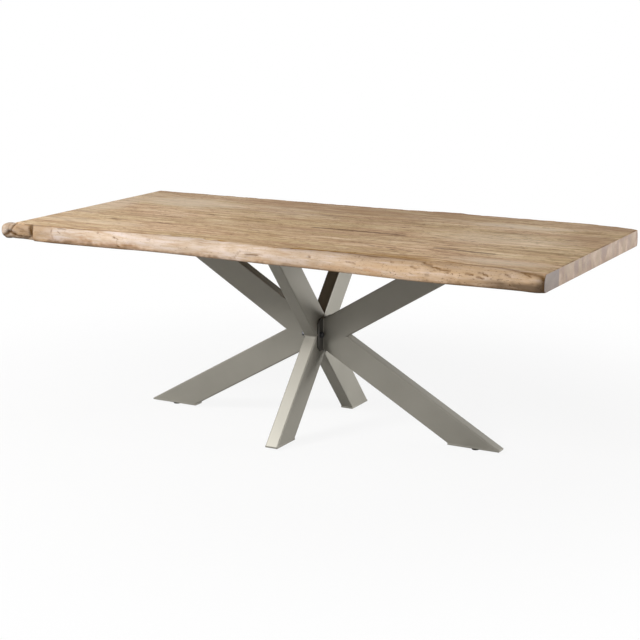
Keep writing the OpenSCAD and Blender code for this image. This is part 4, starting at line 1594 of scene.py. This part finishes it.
    def build(self) -> None:
        """Builds and dresses all seven boards."""
        last = len(self.joints) - 2
        for index in range(last + 1):
            y0, y1 = self.joints[index], self.joints[index + 1]
            if index == 0:
                board = ring_solid("board", self.live_rings(self.front, self.y_front, y1, True))
                self.dress(self.join_stump(board), index, "live_edge_board_front")
            elif index == last:
                board = ring_solid("board", self.live_rings(self.back, self.y_back, y0, False))
                self.dress(board, index, "live_edge_board_back")
            else:
                board = ring_solid("board", self.plain_rings(y0, y1))
                self.dress(board, index, f"board_{index + 1}")


def eased_copy(node: str, width: float, material: bpy.types.Material) -> None:
    """Puts a copy with eased arrises in the place of a painted CAD plate.

    Args:
        node: The CAD node.
        width: Width of the easing.
        material: The finish.
    """
    shape = bmesh.new()
    shape.from_mesh(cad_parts[node].data)
    bmesh.ops.remove_doubles(shape, verts=shape.verts, dist=0.01 * MM)
    bmesh.ops.dissolve_limit(shape, angle_limit=math.radians(1), verts=shape.verts, edges=shape.edges)
    sharp = [e for e in shape.edges if len(e.link_faces) == 2 and e.calc_face_angle() > math.radians(40)]
    bmesh.ops.bevel(shape, geom=sharp, offset=width, segments=2, profile=0.5, affect="EDGES",
                    clamp_overlap=True)
    piece = from_bmesh("eased_" + node, shape)
    piece.data.materials.clear()
    piece.data.materials.append(material)
    place_piece(piece, TABLE, Slot.PAINT, node)


def dress_node(node: str, material: bpy.types.Material) -> None:
    """Gives a CAD node that stays a better material.

    Args:
        node: The node's name.
        material: The finish.
    """
    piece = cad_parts[node]
    if not piece.material_slots:
        piece.data.materials.append(material)
    for slot in piece.material_slots:
        slot.material = material
    LOG.info("%s: kept from the frame in %s", node, material.name)


@dataclass
class StarburstBase:
    """The welded and bolted base: tubes, plates and the weld beads that show."""

    finishes: Finishes
    tube_depth: float = 100 * MM
    tube_corner: float = 4 * MM
    corner_steps: int = 3
    plate_ease: float = 0.8 * MM
    bead_radius: float = 2.6 * MM
    bead_pitch: float = 3.2 * MM
    bead_ripple: float = 0.16

    def __post_init__(self) -> None:
        """Takes the base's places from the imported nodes."""
        low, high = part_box("hub_plate_right")
        left_low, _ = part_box("hub_plate_left")
        self.hub = Vector(((left_low.x + high.x) / 2, (low.y + high.y) / 2, (low.z + high.z) / 2))
        self.face = high.x - self.hub.x
        self.cross_half = low.x - self.hub.x
        self.side_half = (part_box("arm_right_lower")[1].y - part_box("arm_right_lower")[0].y) / 2
        self.plate_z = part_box("top_plate_left")[0].z
        self.foot_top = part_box("foot_plate_left")[1].z
        self.bead = self.bead_tool()

    def bead_tool(self) -> NodeTool:
        """Builds the tree that lays a rippled weld bead along a path.

        Returns:
            The tool. Its geometry is a path of edges.
        """
        tool = NodeTool("weld_bead")
        radius, pitch, ripple = (tool.ask(n) for n in ("Radius", "Pitch", "Ripple"))
        material = tool.ask("Material", "Material")
        curve = tool.add("GeometryNodeMeshToCurve", None, {0: tool.geometry})
        even = tool.add("GeometryNodeResampleCurve", {"mode": "LENGTH"},
                        {"Curve": curve.outputs[0], "Length": tool.math("DIVIDE", pitch, 4.0)})
        along = tool.add("GeometryNodeSplineParameter").outputs["Length"]
        angle = tool.math("MULTIPLY", tool.math("DIVIDE", along, pitch), math.pi)
        crest = tool.math("ABSOLUTE", tool.math("SINE", angle))
        size = tool.math("SUBTRACT", 1.0, tool.math("MULTIPLY", crest, ripple))
        profile = tool.add("GeometryNodeCurvePrimitiveCircle", None, {"Resolution": 10, "Radius": radius})
        swept = tool.add("GeometryNodeCurveToMesh", None, {
            "Curve": even.outputs[0], "Profile Curve": profile.outputs[0], "Scale": size, "Fill Caps": True})
        tool.end(tool.dressed(swept.outputs[0], material))
        return tool

    def weld(self, name: str, loops: Sequence[Sequence[Vector]]) -> None:
        """Lays weld beads along closed paths.

        Args:
            name: Name of the piece.
            loops: Corner points of each closed path.
        """
        points, edges = [], []
        for loop in loops:
            start = len(points)
            points += loop
            edges += [(start + k, start + (k + 1) % len(loop)) for k in range(len(loop))]
        piece = self.bead.run(name, from_points(name + "_path", points, edges), {
            "Radius": self.bead_radius, "Pitch": self.bead_pitch, "Ripple": self.bead_ripple,
            "Material": self.finishes.paint})
        piece.data.shade_smooth()
        place_piece(piece, TABLE, Slot.PAINT)

    def rectangle(self, centre: Vector, along: Vector, across: Vector) -> list[Vector]:
        """Corner points of a rectangle with rounded corners.

        Args:
            centre: Its middle.
            along: Half of its first side, as a vector.
            across: Half of its second side, as a vector.

        Returns:
            The points, in order round it.
        """
        points = []
        round_along, round_across = (v.normalized() * self.tube_corner for v in (along, across))
        for k, (u, v) in enumerate(((1, 1), (-1, 1), (-1, -1), (1, -1))):
            corner = centre + (along - round_along) * u + (across - round_across) * v
            for step in range(self.corner_steps + 1):
                turn = math.pi / 2 * (k + step / self.corner_steps)
                points.append(corner + round_along * math.cos(turn) + round_across * math.sin(turn))
        return points

    def lean(self, node: str, depth: float, run: int) -> float:
        """Slope of a tube, from its box.

        Args:
            node: The tube's node.
            depth: How much of the box's length its slanting ends take.
            run: The axis along which it goes, 0 for X or 1 for Y.

        Returns:
            The angle above the level, in radians.
        """
        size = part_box(node)[1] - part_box(node)[0]
        angle = math.atan2(size.z, size[run])
        for _ in range(40):
            angle = math.atan2(size.z, size[run] - depth / math.sin(angle))
        return angle

    def arm_lean(self, side: Side, part: str) -> float:
        """Slope of a side arm, which is cut level at one end only."""
        return self.lean(f"arm_{side.word}_{part}", self.tube_depth / 2, 0)

    def stub_loops(self, angle: float) -> list[list[Vector]]:
        """Paths round the two stubs where they meet the cross bar.

        Args:
            angle: Slope of the bar.

        Returns:
            The corner points of each path.
        """
        deep = self.tube_depth / 2
        foot_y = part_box("cross_bar")[0].y + deep / math.sin(angle)
        rise = (self.hub.y - foot_y) * math.tan(angle)
        crossing = Vector((self.hub.x, self.hub.y, self.foot_top + rise))
        normal = Vector((0, -math.sin(angle), math.cos(angle)))
        stub_axis = Vector((0, -math.cos(angle), math.sin(angle)))
        stub_side = Vector((0, math.sin(angle), math.cos(angle)))
        loops = []
        for way in (1, -1):
            ends = []
            for side in (deep, -deep):
                reach = (deep - side * normal.dot(stub_side)) / normal.dot(stub_axis)
                ends.append(crossing + way * (stub_axis * reach + stub_side * side))
            loops.append(self.rectangle((ends[0] + ends[1]) / 2, (ends[0] - ends[1]) / 2,
                                        Vector((self.cross_half, 0, 0))))
        return loops

    def flange_loops(self) -> list[list[Vector]]:
        """Paths round the side frames where they meet the hub plates.

        Returns:
            The corner points of each path.
        """
        loops = []
        width = Vector((0, self.side_half, 0))
        for side in (Side.LEFT, Side.RIGHT):
            low, high = (self.tube_depth / 2 / math.cos(self.arm_lean(side, part))
                         for part in ("lower", "upper"))
            centre = self.hub + side.way * self.face + Vector((0, 0, (high - low) / 2))
            loops.append(self.rectangle(centre, width, Vector((0, 0, (high + low) / 2))))
        return loops

    def plate_loops(self, cross_lean: float) -> list[list[Vector]]:
        """Paths round the four upper arms where they meet the plates under the top.

        Args:
            cross_lean: Slope of the cross frame.

        Returns:
            The corner points of each path.
        """
        nodes = {Side.LEFT: "arm_left_upper", Side.RIGHT: "arm_right_upper", Side.FRONT: "cross_stub_front",
                 Side.BACK: "cross_bar"}
        loops = []
        for side, node in nodes.items():
            width = self.side_half if side.way.x else self.cross_half
            angle = self.arm_lean(side, "upper") if side.way.x else cross_lean
            half = self.tube_depth / 2 / math.sin(angle)
            reach = max((corner - self.hub).dot(side.way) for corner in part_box(node)) - half
            centre = Vector((self.hub.x, self.hub.y, self.plate_z)) + side.way * reach
            across = Vector((abs(side.way.y), abs(side.way.x), 0)) * width
            loops.append(self.rectangle(centre, side.way * half, across))
        return loops

    def build(self) -> None:
        """Dresses the tubes, replaces the plates with eased ones and lays the welds."""
        for node in ("arm_left_lower", "arm_left_upper", "arm_right_lower", "arm_right_upper", "cross_bar",
                     "cross_stub_front", "cross_stub_back"):
            dress_node(node, self.finishes.paint)
        # The hub plates take the darker copy of the coat: painted shade.
        for node in ("hub_plate_left", "hub_plate_right"):
            eased_copy(node, self.plate_ease, self.finishes.dark_paint)
        for side in Side:
            for kind in ("top_plate_", "foot_plate_"):
                eased_copy(kind + side.word, self.plate_ease, self.finishes.paint)
        cross_lean = self.lean("cross_bar", self.tube_depth, 1)
        self.weld("weld_cross_stubs", self.stub_loops(cross_lean))
        self.weld("weld_hub_flanges", self.flange_loops())
        self.weld("weld_top_plates", self.plate_loops(cross_lean))


@dataclass
class Fasteners:
    """The bolts, nuts and washers at the hub and under the top, each group one piece."""

    finishes: Finishes
    hub_hex: float = 19 * MM
    hub_head: float = 7.5 * MM
    hub_nut: float = 10.8 * MM
    hub_radius: float = 6 * MM
    hub_washer: float = 2.5 * MM
    hub_pitch: float = 1.75 * MM
    hub_threaded: float = 16 * MM
    hub_groove: float = 0.55 * MM
    hub_tip: float = 0.9 * MM
    top_hex: float = 13 * MM
    top_head: float = 5.3 * MM
    top_radius: float = 4 * MM
    top_washer: float = 1.6 * MM
    top_tip: float = 0.8 * MM
    nut_play: float = 0.05 * MM
    hole_play: float = 0.5 * MM
    nut_lip: float = 0.6 * MM
    washer_soft: float = 0.3 * MM
    chamfer_share: float = 0.95
    turns: int = 48

    def __post_init__(self) -> None:
        """Builds the repeating tree."""
        self.repeat = self.repeat_tool()

    def repeat_tool(self) -> NodeTool:
        """Builds the tree that sets one fastener on every point.

        Returns:
            The tool. Its geometry is a mesh of points.
        """
        tool = NodeTool("fastener_group")
        source, material = tool.ask("Fastener", "Object"), tool.ask("Material", "Material")
        info = tool.add("GeometryNodeObjectInfo", None, {"Object": source})
        placed = tool.add("GeometryNodeInstanceOnPoints", None, {
            "Points": tool.geometry, "Instance": info.outputs["Geometry"]})
        tool.end(tool.dressed(placed.outputs[0], material))
        return tool

    def hexagon(self, shape: bmesh.types.BMesh, flats: float, height: float, bore: float,
                place: Matrix) -> None:
        """Adds a chamfered hexagon: a head, or a nut with a bore and chamfers at both ends.

        Args:
            shape: The edit mesh.
            flats: Width across the flats.
            height: Its height.
            bore: Radius of the bore, or 0 for a head.
            place: Puts it where it belongs.
        """
        rim = self.chamfer_share * flats / 2
        columns = []
        for k in range(self.turns):
            a = 2 * math.pi * k / self.turns
            r = flats / 2 / math.cos((a + math.pi / 6) % (math.pi / 3) - math.pi / 6)
            drop = (r - rim) * math.tan(math.radians(30))
            rows = [(r, 0.0), (r, height - drop), (rim, height)]
            if bore > 0:
                lip = self.nut_lip
                inside = [(bore + lip, height), (bore, height - lip), (bore, lip), (bore + lip, 0.0)]
                rows = [(rim, 0.0), (r, drop), *rows[1:], *inside]
            columns.append([shape.verts.new(turned(place, q, a, h)) for q, h in rows])
        size = len(columns[0])
        for one, two in zip(columns, columns[1:] + columns[:1]):
            for i in range(size if bore > 0 else size - 1):
                j = (i + 1) % size
                shape.faces.new([one[i], two[i], two[j], one[j]])
        if bore <= 0:
            shape.faces.new([c[0] for c in reversed(columns)])
            shape.faces.new([c[-1] for c in columns])

    def washer(self, shape: bmesh.types.BMesh, radius: float, bore: float, height: float,
               place: Matrix) -> None:
        """Adds a washer with softened rims.

        Args:
            shape: The edit mesh.
            radius: Outer radius.
            bore: Bore radius.
            height: Thickness.
            place: Puts it where it belongs.
        """
        soft = self.washer_soft
        rows = [(bore, 0), (radius - soft, 0), (radius, soft), (radius, height - soft),
                (radius - soft, height), (bore + soft, height), (bore, height - soft)]
        lathe(shape, rows, place, self.turns, closed=True)

    def spread(self, name: str, shape: bmesh.types.BMesh, points: Sequence[Vector], node: str) -> None:
        """Sets a fastener on every point and hands the group over.

        Args:
            name: Name of the piece.
            shape: The fastener at the origin, as an edit mesh.
            points: Where each one goes.
            node: The CAD node that the group stands for.
        """
        source = from_bmesh(name + "_one", shape)
        piece = self.repeat.run(name, from_points(name + "_places", points), {
            "Fastener": source, "Material": self.finishes.zinc})
        discard(source)
        place_piece(piece, TABLE, Slot.ZINC, node)

    def build_hub(self) -> None:
        """Builds the two through bolts of the hub with their washers and nuts."""
        low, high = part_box("hub_bolts")
        washer_low, washer_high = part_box("hub_washers")
        washer_r = (washer_high.z - washer_low.z) / 2
        z = (low.z + high.z) / 2
        places = [Vector((0, y, z)) for y in (washer_low.y + washer_r, washer_high.y - washer_r)]
        out, back = (Matrix.Rotation(math.radians(a), 4, "Y") for a in (90, -90))
        head = Matrix.Translation((washer_high.x, 0, 0))
        r, length = self.hub_radius, washer_high.x - low.x
        plain, step = length - self.hub_threaded, self.hub_pitch / 2
        shank = [(0, 0), (r, 0), (r, plain)]
        shank += [(r - (0.0 if k % 2 else self.hub_groove), plain + (k + 1) * step)
                  for k in range(round((self.hub_threaded - self.hub_tip) / step))]
        shank += [(r - self.hub_tip, length), (0, length)]
        shape = bmesh.new()
        self.hexagon(shape, self.hub_hex, self.hub_head, 0.0, head @ out)
        lathe(shape, shank, head @ back, self.turns)
        self.spread("hub_bolts_hex", shape, places, "hub_bolts")
        shape = bmesh.new()
        for end, turn in ((washer_high.x - self.hub_washer, out), (washer_low.x + self.hub_washer, back)):
            self.washer(shape, washer_r, r + self.hole_play, self.hub_washer,
                        Matrix.Translation((end, 0, 0)) @ turn)
        self.spread("hub_washers_round", shape, places, "hub_washers")
        shape = bmesh.new()
        self.hexagon(shape, self.hub_hex, self.hub_nut, r + self.nut_play,
                     Matrix.Translation((washer_low.x, 0, 0)) @ back)
        self.spread("hub_nuts_hex", shape, places, "hub_nuts")

    def top_places(self) -> list[Vector]:
        """Finds where the sixteen bolts under the top stand, seated on the washers' undersides.

        Returns:
            The place of each.
        """
        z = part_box("top_washers")[0].z
        apart = 6 * self.top_radius
        groups: list[list[Vector]] = []
        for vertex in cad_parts["top_washers"].data.vertices:
            group = next((g for g in groups if (g[0].xy - vertex.co.xy).length < apart), None)
            if group is None:
                group = []
                groups.append(group)
            group.append(vertex.co.copy())
        spans = [([p.x for p in group], [p.y for p in group]) for group in groups]
        return [Vector(((min(xs) + max(xs)) / 2, (min(ys) + max(ys)) / 2, z)) for xs, ys in spans]

    def build_top(self) -> None:
        """Builds the sixteen bolts and washers under the top."""
        places = self.top_places()
        r, length = self.top_radius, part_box("top_bolts")[1].z - places[0].z
        shape = bmesh.new()
        self.hexagon(shape, self.top_hex, self.top_head, 0.0, Matrix.Rotation(math.radians(180), 4, "X"))
        lathe(shape, [(0, 0), (r, 0), (r, length - self.top_tip), (r - self.top_tip, length), (0, length)],
              Matrix.Identity(4), self.turns // 2)
        self.spread("top_bolts_hex", shape, places, "top_bolts")
        shape = bmesh.new()
        self.washer(shape, 2 * r, r + self.hole_play, self.top_washer, Matrix.Identity(4))
        self.spread("top_washers_round", shape, places, "top_washers")

    def build(self) -> None:
        """Builds every group and dresses the hidden fasteners that stay."""
        self.build_hub()
        self.build_top()
        dress_node("top_inserts", self.finishes.brass)
        dress_node("hub_sleeves", self.finishes.zinc)
        dress_node("foot_nuts", self.finishes.zinc)


@dataclass
class Glides:
    """The four levelling glides: a moulded pad and a threaded stud on each, moving as one body.

    Each row of the pad's outline is a share of its radius less millimetres, and a share of its height
    plus millimetres.
    """

    finishes: Finishes
    pad_outline: Rows = (
        (0, 0, 0, 0), (1, 2.2, 0, 0), (1, 1.5, 0, 0.15), (1, 0.7, 0, 0.6), (1, 0.2, 0, 1.3), (1, 0, 0, 2.1),
        (1, 0, 0.50, 0), (1, 0.35, 0.56, 0), (0.86, 0, 0.66, 0), (0.70, 0, 0.86, 0), (0.62, 0, 0.97, 0),
        (0.60, 0, 1, 0), (0.31, 0, 1, 0), (0, 0, 1, 0))
    thread_pitch: float = 1.25 * MM
    thread_depth: float = 0.55 * MM
    thread_start: float = 0.6 * MM
    thread_play: float = 0.05 * MM
    wire_play: float = 0.03 * MM
    stud_soft: float = 0.5 * MM
    turns: int = 48
    ribs: int = 24
    rib_share: float = 0.022
    rib_land: float = 0.5 * MM

    def __post_init__(self) -> None:
        """Builds the thread tree."""
        self.thread = self.thread_tool()

    def thread_tool(self) -> NodeTool:
        """Builds the tree that winds a thread round a core.

        Returns:
            The tool. Its geometry is the core.
        """
        tool = NodeTool("wound_thread")
        radius, pitch, turns, depth, x, y, z = (tool.ask(n) for n in (
            "Radius", "Pitch", "Turns", "Depth", "X", "Y", "Z"))
        material = tool.ask("Material", "Material")
        inner = tool.math("SUBTRACT", radius, depth)
        wire = tool.add("GeometryNodeCurveSpiral", None, {
            "Resolution": 28, "Rotations": turns, "Start Radius": inner, "End Radius": inner,
            "Height": tool.math("MULTIPLY", pitch, turns)})
        profile = tool.add("GeometryNodeCurvePrimitiveCircle", None, {"Resolution": 4, "Radius": depth})
        swept = tool.add("GeometryNodeCurveToMesh", None, {
            "Curve": wire.outputs[0], "Profile Curve": profile.outputs[0], "Fill Caps": True})
        at = tool.add("ShaderNodeCombineXYZ", None, {"X": x, "Y": y, "Z": z})
        placed = tool.add("GeometryNodeTransform", None, {
            "Geometry": swept.outputs[0], "Translation": at.outputs[0]})
        both = tool.add("GeometryNodeJoinGeometry", None, {0: placed.outputs[0]})
        tool.tree.links.new(tool.geometry, both.inputs[0])
        tool.end(tool.dressed(both.outputs[0], material))
        return tool

    def build_pad(self, side: Side, low: Vector, high: Vector) -> None:
        """Builds one moulded pad with a gripping rim.

        Args:
            side: Which glide.
            low: Lowest corner of the pad's box.
            high: Highest corner of the pad's box.
        """
        centre = (low + high) / 2
        r, h = (high.x - low.x) / 2, high.z - low.z
        profile = [(a * r - b * MM, c * h + d * MM) for a, b, c, d in self.pad_outline]
        shape = bmesh.new()
        lathe(shape, profile, Matrix.Translation((centre.x, centre.y, low.z)), self.turns)
        for vertex in shape.verts:
            away = vertex.co.xy - centre.xy
            if away.length > r - self.rib_land:
                turn = math.atan2(away.y, away.x)
                share = 1 - self.rib_share * (0.5 - 0.5 * math.cos(self.ribs * turn))
                vertex.co.xy = centre.xy + away * share
        piece = from_bmesh(f"glide_{side.word}_moulded_pad", shape)
        piece.data.materials.append(self.finishes.nylon)
        place_piece(piece, f"glide_{side.word}", Slot.NYLON, f"glide_pad_{side.word}")

    def build_stud(self, side: Side, low: Vector, high: Vector, pad_top: float) -> None:
        """Builds one threaded stud.

        Args:
            side: Which glide.
            low: Lowest corner of the stud's box.
            high: Highest corner of the stud's box.
            pad_top: Height of the pad's top, where the thread may start.
        """
        centre = (low + high) / 2
        r, soft = (high.x - low.x) / 2, self.stud_soft
        core = r - self.thread_depth
        shape = bmesh.new()
        profile = [(0, low.z), (core, low.z), (core, high.z - soft), (core - soft, high.z), (0, high.z)]
        lathe(shape, profile, Matrix.Translation((centre.x, centre.y, 0)), self.turns // 2)
        start = pad_top + self.thread_start
        count = math.floor((high.z - 2 * soft - start) / self.thread_pitch)
        piece = self.thread.run(f"glide_{side.word}_threaded_stud", from_bmesh("stud_core", shape), {
            "Radius": r - self.thread_play, "Pitch": self.thread_pitch, "Turns": float(count),
            "Depth": self.thread_depth - self.wire_play, "Material": self.finishes.zinc,
            "X": centre.x, "Y": centre.y, "Z": start})
        place_piece(piece, f"glide_{side.word}", Slot.ZINC, f"glide_stud_{side.word}")

    def build(self) -> None:
        """Builds all four glides."""
        for side in Side:
            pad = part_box(f"glide_pad_{side.word}")
            self.build_pad(side, *pad)
            self.build_stud(side, *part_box(f"glide_stud_{side.word}"), pad[1].z)


@dataclass(frozen=True)
class SoftBox:
    """One lamp: its name, where it hangs, its width and height, and its power in watts."""

    name: str
    at: Triple
    size: tuple[float, float]
    watts: float


@dataclass
class Studio:
    """The pale floor, the soft lamps and the camera at the photograph's angle."""

    floor_half: float = 14.0
    floor_colour: str = "#c6c5c3"
    clear_share: float = 0.90
    clear_from: float = 0.9
    clear_to: float = 2.4
    sky_light: float = 0.02
    camera_at: Triple = (2.7243, -5.0260, 1.7012)
    camera_turn: Triple = (77.1615, 0.0, 28.3824)
    lens: float = 87.22
    sensor: float = 36.0
    lamps_look_at: Triple = (0, 0, 0.55)
    lamps: tuple[SoftBox, ...] = (
        SoftBox("softbox_front_left", (-2.2, -3.3, 3.0), (1.3, 1.3), 255.0),
        SoftBox("softbox_above", (-1.3, -1.2, 3.7), (3.4, 3.0), 39.0),
        SoftBox("softbox_right", (6.8, 2.0, 1.2), (2.5, 1.4), 245.0),
        SoftBox("softbox_right_low", (5.35, 4.8, 0.9), (2.0, 1.2), 205.0),
        SoftBox("softbox_right_rear", (6.4, 3.7, 1.65), (2.5, 1.4), 66.0),
        SoftBox("softbox_rear", (-1.0, 6.5, 1.8), (5.0, 2.2), 30.0))

    def build_floor(self) -> None:
        """Lays a pale floor that takes the table's shadow and fades to white far out.

        Most of what the camera sees of it is the white surroundings behind, so a glide that is screwed
        out below the floor's level still shows.
        """
        shape = bmesh.new()
        bmesh.ops.create_circle(shape, cap_ends=True, segments=96, radius=self.floor_half)
        mesh = bpy.data.meshes.new("floor")
        shape.to_mesh(mesh)
        shape.free()
        floor = make_object("floor", mesh)
        coat = Coat("matt_pale_floor")
        feed(coat.tree, coat.shader, {
            "Base Color": linear(self.floor_colour), "Roughness": 0.8, "Specular IOR Level": 0.2})
        far = coat.remap(coat.vector("LENGTH", coat.place()), self.clear_from, self.clear_to,
                         self.clear_share, 1.0, "SMOOTHSTEP")
        seen = coat.add("ShaderNodeLightPath").outputs["Is Camera Ray"]
        clear = coat.add("ShaderNodeBsdfTransparent").outputs[0]
        mixed = coat.add("ShaderNodeMixShader", None, {
            0: coat.math("MULTIPLY", seen, far), 1: coat.shader.outputs[0], 2: clear})
        feed(coat.tree, coat.output, {"Surface": mixed.outputs[0]})
        floor.data.materials.append(coat.material)

    def build_world(self) -> None:
        """Fills the surroundings with soft light, seen as white."""
        world = bpy.data.worlds.new("white_surroundings")
        world.use_nodes = True
        world.node_tree.nodes.clear()
        net = Net(world.node_tree)
        path = net.add("ShaderNodeLightPath").outputs
        seen = net.math("MAXIMUM", path["Is Camera Ray"], path["Is Glossy Ray"])
        seen = net.math("MAXIMUM", seen, path["Is Transmission Ray"])
        sky = net.add("ShaderNodeBackground", None, {
            "Color": (1, 1, 1, 1), "Strength": net.remap(seen, 0.0, 1.0, self.sky_light, 1.0)})
        net.add("ShaderNodeOutputWorld", inputs={"Surface": sky.outputs[0]})
        bpy.context.scene.world = world

    def build_lamp(self, box: SoftBox) -> None:
        """Hangs one soft box aimed at the table.

        Args:
            box: The lamp.
        """
        light = bpy.data.lights.new(box.name, "AREA")
        light.shape = "RECTANGLE"
        light.size, light.size_y = box.size
        light.energy = box.watts
        lamp = make_object(box.name, light)
        lamp.location = box.at
        way = Vector(self.lamps_look_at) - Vector(box.at)
        lamp.rotation_euler = way.to_track_quat("-Z", "Y").to_euler()
        lamp.visible_camera = False

    def build_camera(self) -> None:
        """Sets the camera where the photograph was taken from."""
        data = bpy.data.cameras.new("camera")
        data.lens = self.lens
        data.sensor_width = self.sensor
        camera = make_object("camera", data)
        camera.location = self.camera_at
        camera.rotation_euler = [math.radians(a) for a in self.camera_turn]
        bpy.context.scene.camera = camera

    def build(self) -> None:
        """Sets the whole studio up."""
        bpy.context.scene.view_settings.view_transform = "Standard"
        self.build_camera()
        self.build_floor()
        self.build_world()
        for box in self.lamps:
            self.build_lamp(box)


def main() -> None:
    """Builds the studio and the table, one sub-assembly after the other."""
    logging.basicConfig(level=logging.INFO, format="%(name)s: %(message)s")
    Studio().build()
    finishes = Finishes()
    LiveEdgeTop(finishes).build()
    StarburstBase(finishes).build()
    Fasteners(finishes).build()
    Glides(finishes).build()


if __name__ == "__main__":
    main()
